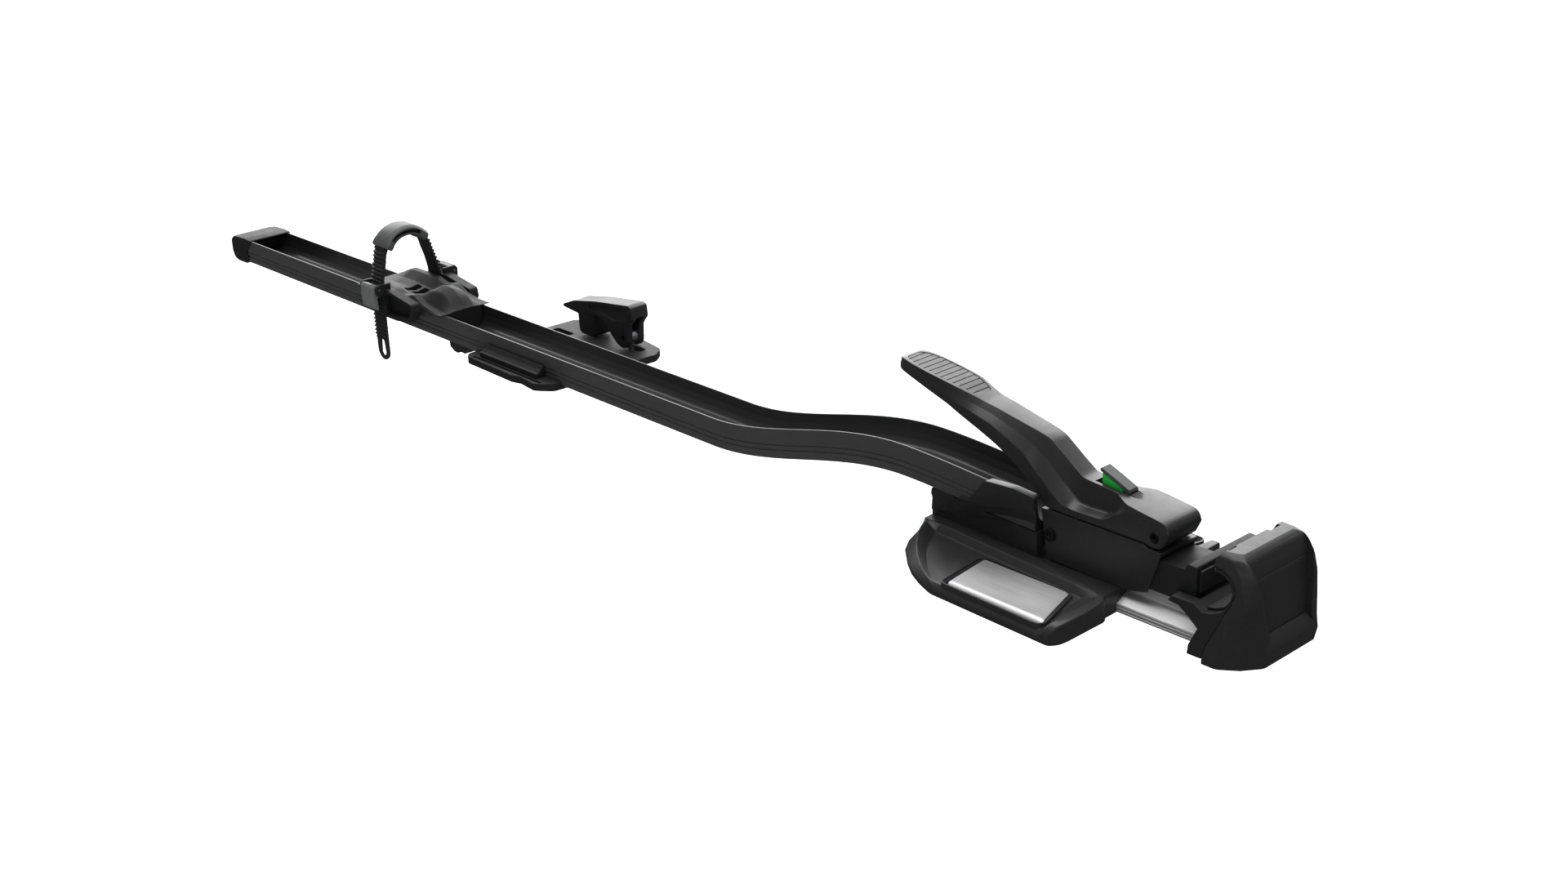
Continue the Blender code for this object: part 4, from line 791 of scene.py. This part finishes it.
camLever = {
    "side": [(-711.6, 31.6), (-711, 34.2), (-694, 41.2), (-655, 48.6), (-606, 54.9), (-600.6, 53.2),
             (-599.2, 41.6), (-604, 36), (-607, 32), (-607.6, 18), (-608.2, 14.2), (-610.2, 11.0),
             (-613.0, 9.0), (-616.0, 8.4), (-620, 9.2), (-626, 11.6), (-634, 18.5), (-642, 27.4),
             (-649, 32.6), (-657, 34.2), (-661.4, 31.0), (-661.8, 12), (-663, 9.2),
             (-683, 9.2), (-686, 12), (-687, 29.2), (-700, 30.2)],
    "radii": [1, 2, 12, 20, 3, 2.5, 2, 3, 3, 3, 2, 2, 2, 2, 2, 6, 12, 10, 6, 4, 3, 2, 2, 2, 2, 2, 8],
    "gap": [(-634, -4), (-629, 8), (-629, 42), (-590, 42), (-590, -4)],
    "hollow": [(-668, 36.5), (-668, 42.4), (-650, 45.6), (-611, 50.4), (-608, 40.5), (-628, 34.0),
               (-652, 38.8)],
    "low": 73.6, "high": 94.4, "pin": (-616.0, 84.0, 19.0), "pinRoom": 3.1,
}


def makeCamLever(paints):
    piece = rawPiece("camLever", slab(rounded(camLever["side"], camLever["radii"], 5), "xz", camLever["low"],
                                      camLever["high"]))
    carve(piece, slab(rounded(camLever["gap"], [2, 4, 4, 1, 1], 4), "xz", 79.5, 88.5))
    for low, high in ((60, 75.0), (93.0, 110)):
        carve(piece, slab(rounded(camLever["hollow"], [2, 2, 6, 3, 3, 6, 5], 4), "xz", low, high))
    carve(piece, rod(camLever["pin"], camLever["pinRoom"], 60, (0, 1, 0), 32))
    roundEdges(piece, 1.0, 3, 36)
    finishPiece(piece, paints["shellBlack"], "cam", "moulded_black", "rear_cam_lever")


# tray end cap and sliding jaw

endCap = {
    "side": [(-1217, 12), (-1213.5, 4.5), (-1205, 1.7), (-1186, 1.9), (-1182, 4.4), (-1182, 12.5),
             (-1184, 15.5), (-1178, 22), (-1172, 30.6), (-1186, 31.6), (-1210, 30.2), (-1217, 25)],
    "radii": [5, 5, 4, 2, 2, 1, 1, 3, 2, 8, 5, 5],
    "plugHalf": [(17.2, 6.6), (19.9, 10.8), (21.5, 18.0), (22.4, 25.9), (22.4, 30)],
    "wedge": [(-1216, 9), (-1188, 9.9), (-1178, 31.0), (-1186, 31.5), (-1212, 30.0), (-1216, 24)],
}


def makeEndCap(paints):
    piece = rawPiece("endCap", slab(rounded(endCap["side"], endCap["radii"], 4), "xz", -26.2, 26.2))
    carve(piece, slab([(-26, 2.8), (26, 2.8), (25.3, 30.0), (-25.3, 30.0)], "yz", tray["tail"] - 0.3, -1150))
    plugHalf = [(y, z + tray["low"]) for y, z in endCap["plugHalf"]]
    plug = rawPiece("plug", slab(bothSides(plugHalf), "yz", -1216, -1150))
    clip(plug, slab(endCap["wedge"], "xz", -22.4, 22.4))
    weldOn(piece, takeMesh(plug))
    roundEdges(piece, 1.2, 3, 38)
    finishPiece(piece, paints["dullBlack"], "carrier", "moulded_black", "tray_end_cap")


jaw = {
    "neck": [(58, 23.6), (58, 40), (66, 48.6), (148, 49.0), (148, 40.5), (145.6, 39.2), (144.6, 23.8)],
    "neckHalf": 19.2,
    "block": [(146.5, 64), (154.3, 63.4), (154.3, 39.2), (135.6, 39.2)],
    "blockHalf": 35.8,
}


def makeJaw(paints):
    piece = rawPiece("slidingJaw", slab(rounded(jaw["neck"], [1, 1, 3, 0.2, 0.2, 0.2, 1], 3), "xz",
                                        -jaw["neckHalf"], jaw["neckHalf"]))
    weldOn(piece, slab(rounded(jaw["block"], [2.2, 1.6, 1, 1], 4), "xz", -jaw["blockHalf"], jaw["blockHalf"]))
    carve(piece, rod((60, 0, 36), 4.3, 40, (1, 0, 0), 24))
    roundEdges(piece, 1.1, 3, 40)
    finishPiece(piece, paints["dullBlack"], "jaw", "moulded_black", "axle_jaw")


# camera, floor and lights

studio = {
    "cameraAt": (0.8845, -1.0801, 0.6789),
    "heading": 47.70,      # degrees, looking back along the tray and across it
    "pitch": 22.35,
    "roll": -1.87,
    "lens": 46.23,
    "floorZ": -0.36,
    "floorSize": 60,
    "boxes": {      # place, target, size, power
        "topBox": ((-0.4, 0.2, 2.6), (-0.4, 0.0, 0.0), (3.4, 2.4), 100),
        "backBox": ((-3.2, 3.2, 2.1), (-0.3, 0.0, 0.0), (8.0, 4.0), 480),
        "frontBox": ((1.6, -2.6, 1.8), (-0.3, 0.0, 0.0), (2.0, 1.4), 16),
    },
    "worldLow": 0.10,      # world brightness under the horizon and over it
    "worldHigh": 0.42,
}


def setCamera():
    data = bpy.data.cameras.new("camera")
    data.lens = studio["lens"]
    data.clip_start, data.clip_end = 0.05, 50
    camera = bpy.data.objects.new("camera", data)
    heading, pitch = math.radians(studio["heading"]), math.radians(studio["pitch"])
    ahead = Vector((-math.sin(heading) * math.cos(pitch), math.cos(heading) * math.cos(pitch),
                    -math.sin(pitch)))
    turn = ahead.to_track_quat("-Z", "Y").to_matrix().to_4x4()
    camera.matrix_world = (Matrix.Translation(studio["cameraAt"]) @ turn
                           @ Matrix.Rotation(math.radians(studio["roll"]), 4, "Z"))
    scene.collection.objects.link(camera)
    scene.camera = camera


def softbox(name, place, target, size, power):
    data = bpy.data.lights.new(name, "AREA")
    data.shape = "RECTANGLE"
    data.size, data.size_y = size
    data.energy = power
    light = bpy.data.objects.new(name, data)
    light.location = place
    light.rotation_euler = (Vector(target) - Vector(place)).to_track_quat("-Z", "Y").to_euler()
    scene.collection.objects.link(light)
    return light


def setStudio():
    bm = bmesh.new()
    bmesh.ops.create_grid(bm, x_segments=1, y_segments=1, size=studio["floorSize"])
    mesh = bpy.data.meshes.new("floor")
    bm.to_mesh(mesh)
    bm.free()
    floor = bpy.data.objects.new("floor", mesh)
    floor.location.z = studio["floorZ"]
    scene.collection.objects.link(floor)
    paint = Paint("studioFloor", Roughness=0.9)
    paint.feed("Base Color", paint.blend(paint.noise(3.0), (0.92, 0.92, 0.92), (0.94, 0.94, 0.94)))
    mesh.materials.append(paint.material)
    floor.visible_glossy = False

    world = bpy.data.worlds.new("studio")
    scene.world = world
    world.use_nodes = True
    tree = world.node_tree
    tree.nodes.clear()
    place = tree.nodes.new("ShaderNodeTexCoord")
    split = tree.nodes.new("ShaderNodeSeparateXYZ")
    ramp = tree.nodes.new("ShaderNodeMapRange")
    glow = tree.nodes.new("ShaderNodeBackground")
    out = tree.nodes.new("ShaderNodeOutputWorld")
    for name, value in (("From Min", -0.05), ("From Max", 0.35), ("To Min", studio["worldLow"]),
                        ("To Max", studio["worldHigh"])):
        ramp.inputs[name].default_value = value
    tree.links.new(place.outputs["Generated"], split.inputs[0])
    tree.links.new(split.outputs["Z"], ramp.inputs["Value"])
    tree.links.new(ramp.outputs[0], glow.inputs["Strength"])
    tree.links.new(glow.outputs[0], out.inputs[0])

    for name, look in studio["boxes"].items():
        softbox(name, *look)


# carried-over CAD pieces: paint and softened edges

cadLooks = {
    "mouldedBlack": ["housing_near", "housing_far"],
    "dullBlack": ["near_buckle_housing", "far_buckle_housing", "rear_clamp_plate", "rear_clip_near",
                  "rear_clip_far", "head_core"],
    "rubberBlack": ["tray_rest_foot", "rear_bar_pad", "axle_seat_liner", "jaw_liner"],
    "padGrey": ["indicator_flap"],
    "leverGrey": ["near_release_lever", "far_release_lever"],
    "flagGreen": ["indicator_flag"],
    "railMetal": ["slide_rail"],
    "zincSteel": ["track_bolt_rear", "track_bolt_front", "track_nut_rear", "track_nut_front",
                  "tray_cap_screw", "indicator_pin", "draw_rod", "rear_eye_bolt", "near_buckle_pin",
                  "far_buckle_pin"],
    "blackSteel": ["housing_screw_near", "housing_screw_far", "head_bolt_near", "head_bolt_far",
                   "lever_pivot_pin", "rear_cam_pin"],
}
edgeWidths = {"head_core": 0.6, "rear_clamp_plate": 0.8, "near_buckle_housing": 0.6,
              "far_buckle_housing": 0.6}


def dressFrame(paints):
    for look, names in cadLooks.items():
        for name in names:
            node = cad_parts[name]
            node.data.materials.clear()
            node.data.materials.append(paints[look])
            weld = node.modifiers.new("weld", "WELD")
            weld.merge_threshold = 0.00001
            flat = node.modifiers.new("flat", "DECIMATE")
            flat.decimate_type = "DISSOLVE"
            flat.angle_limit = math.radians(1)
            edge = node.modifiers.new("edge", "BEVEL")
            edge.width = edgeWidths.get(name, 0.4) * mm
            edge.segments = 2
            edge.limit_method = "ANGLE"
            edge.angle_limit = math.radians(35)
            edge.use_clamp_overlap = True


def makePaints():
    paints = {name: plasticPaint(name) for name in plastics}
    paints.update({name: metalPaint(name) for name in metals})
    paints["anodisedBlack"] = anodisedPaint()
    return paints


setCamera()
setStudio()
print("studio ready")
paints = makePaints()
dressFrame(paints)
print("frame painted")
makeTray(paints)
makeFoot(paints)
makeWearPlates(paints)
print("tray and foot made")
makeLever(paints)
makeHead(paints)
makeJaw(paints)
print("lever and head made")
makeEndCap(paints)
makeCradle(paints)
makeStrap(paints)
makeRimPad(paints)
makeCamLever(paints)
print("cradle, strap and rear lever made")
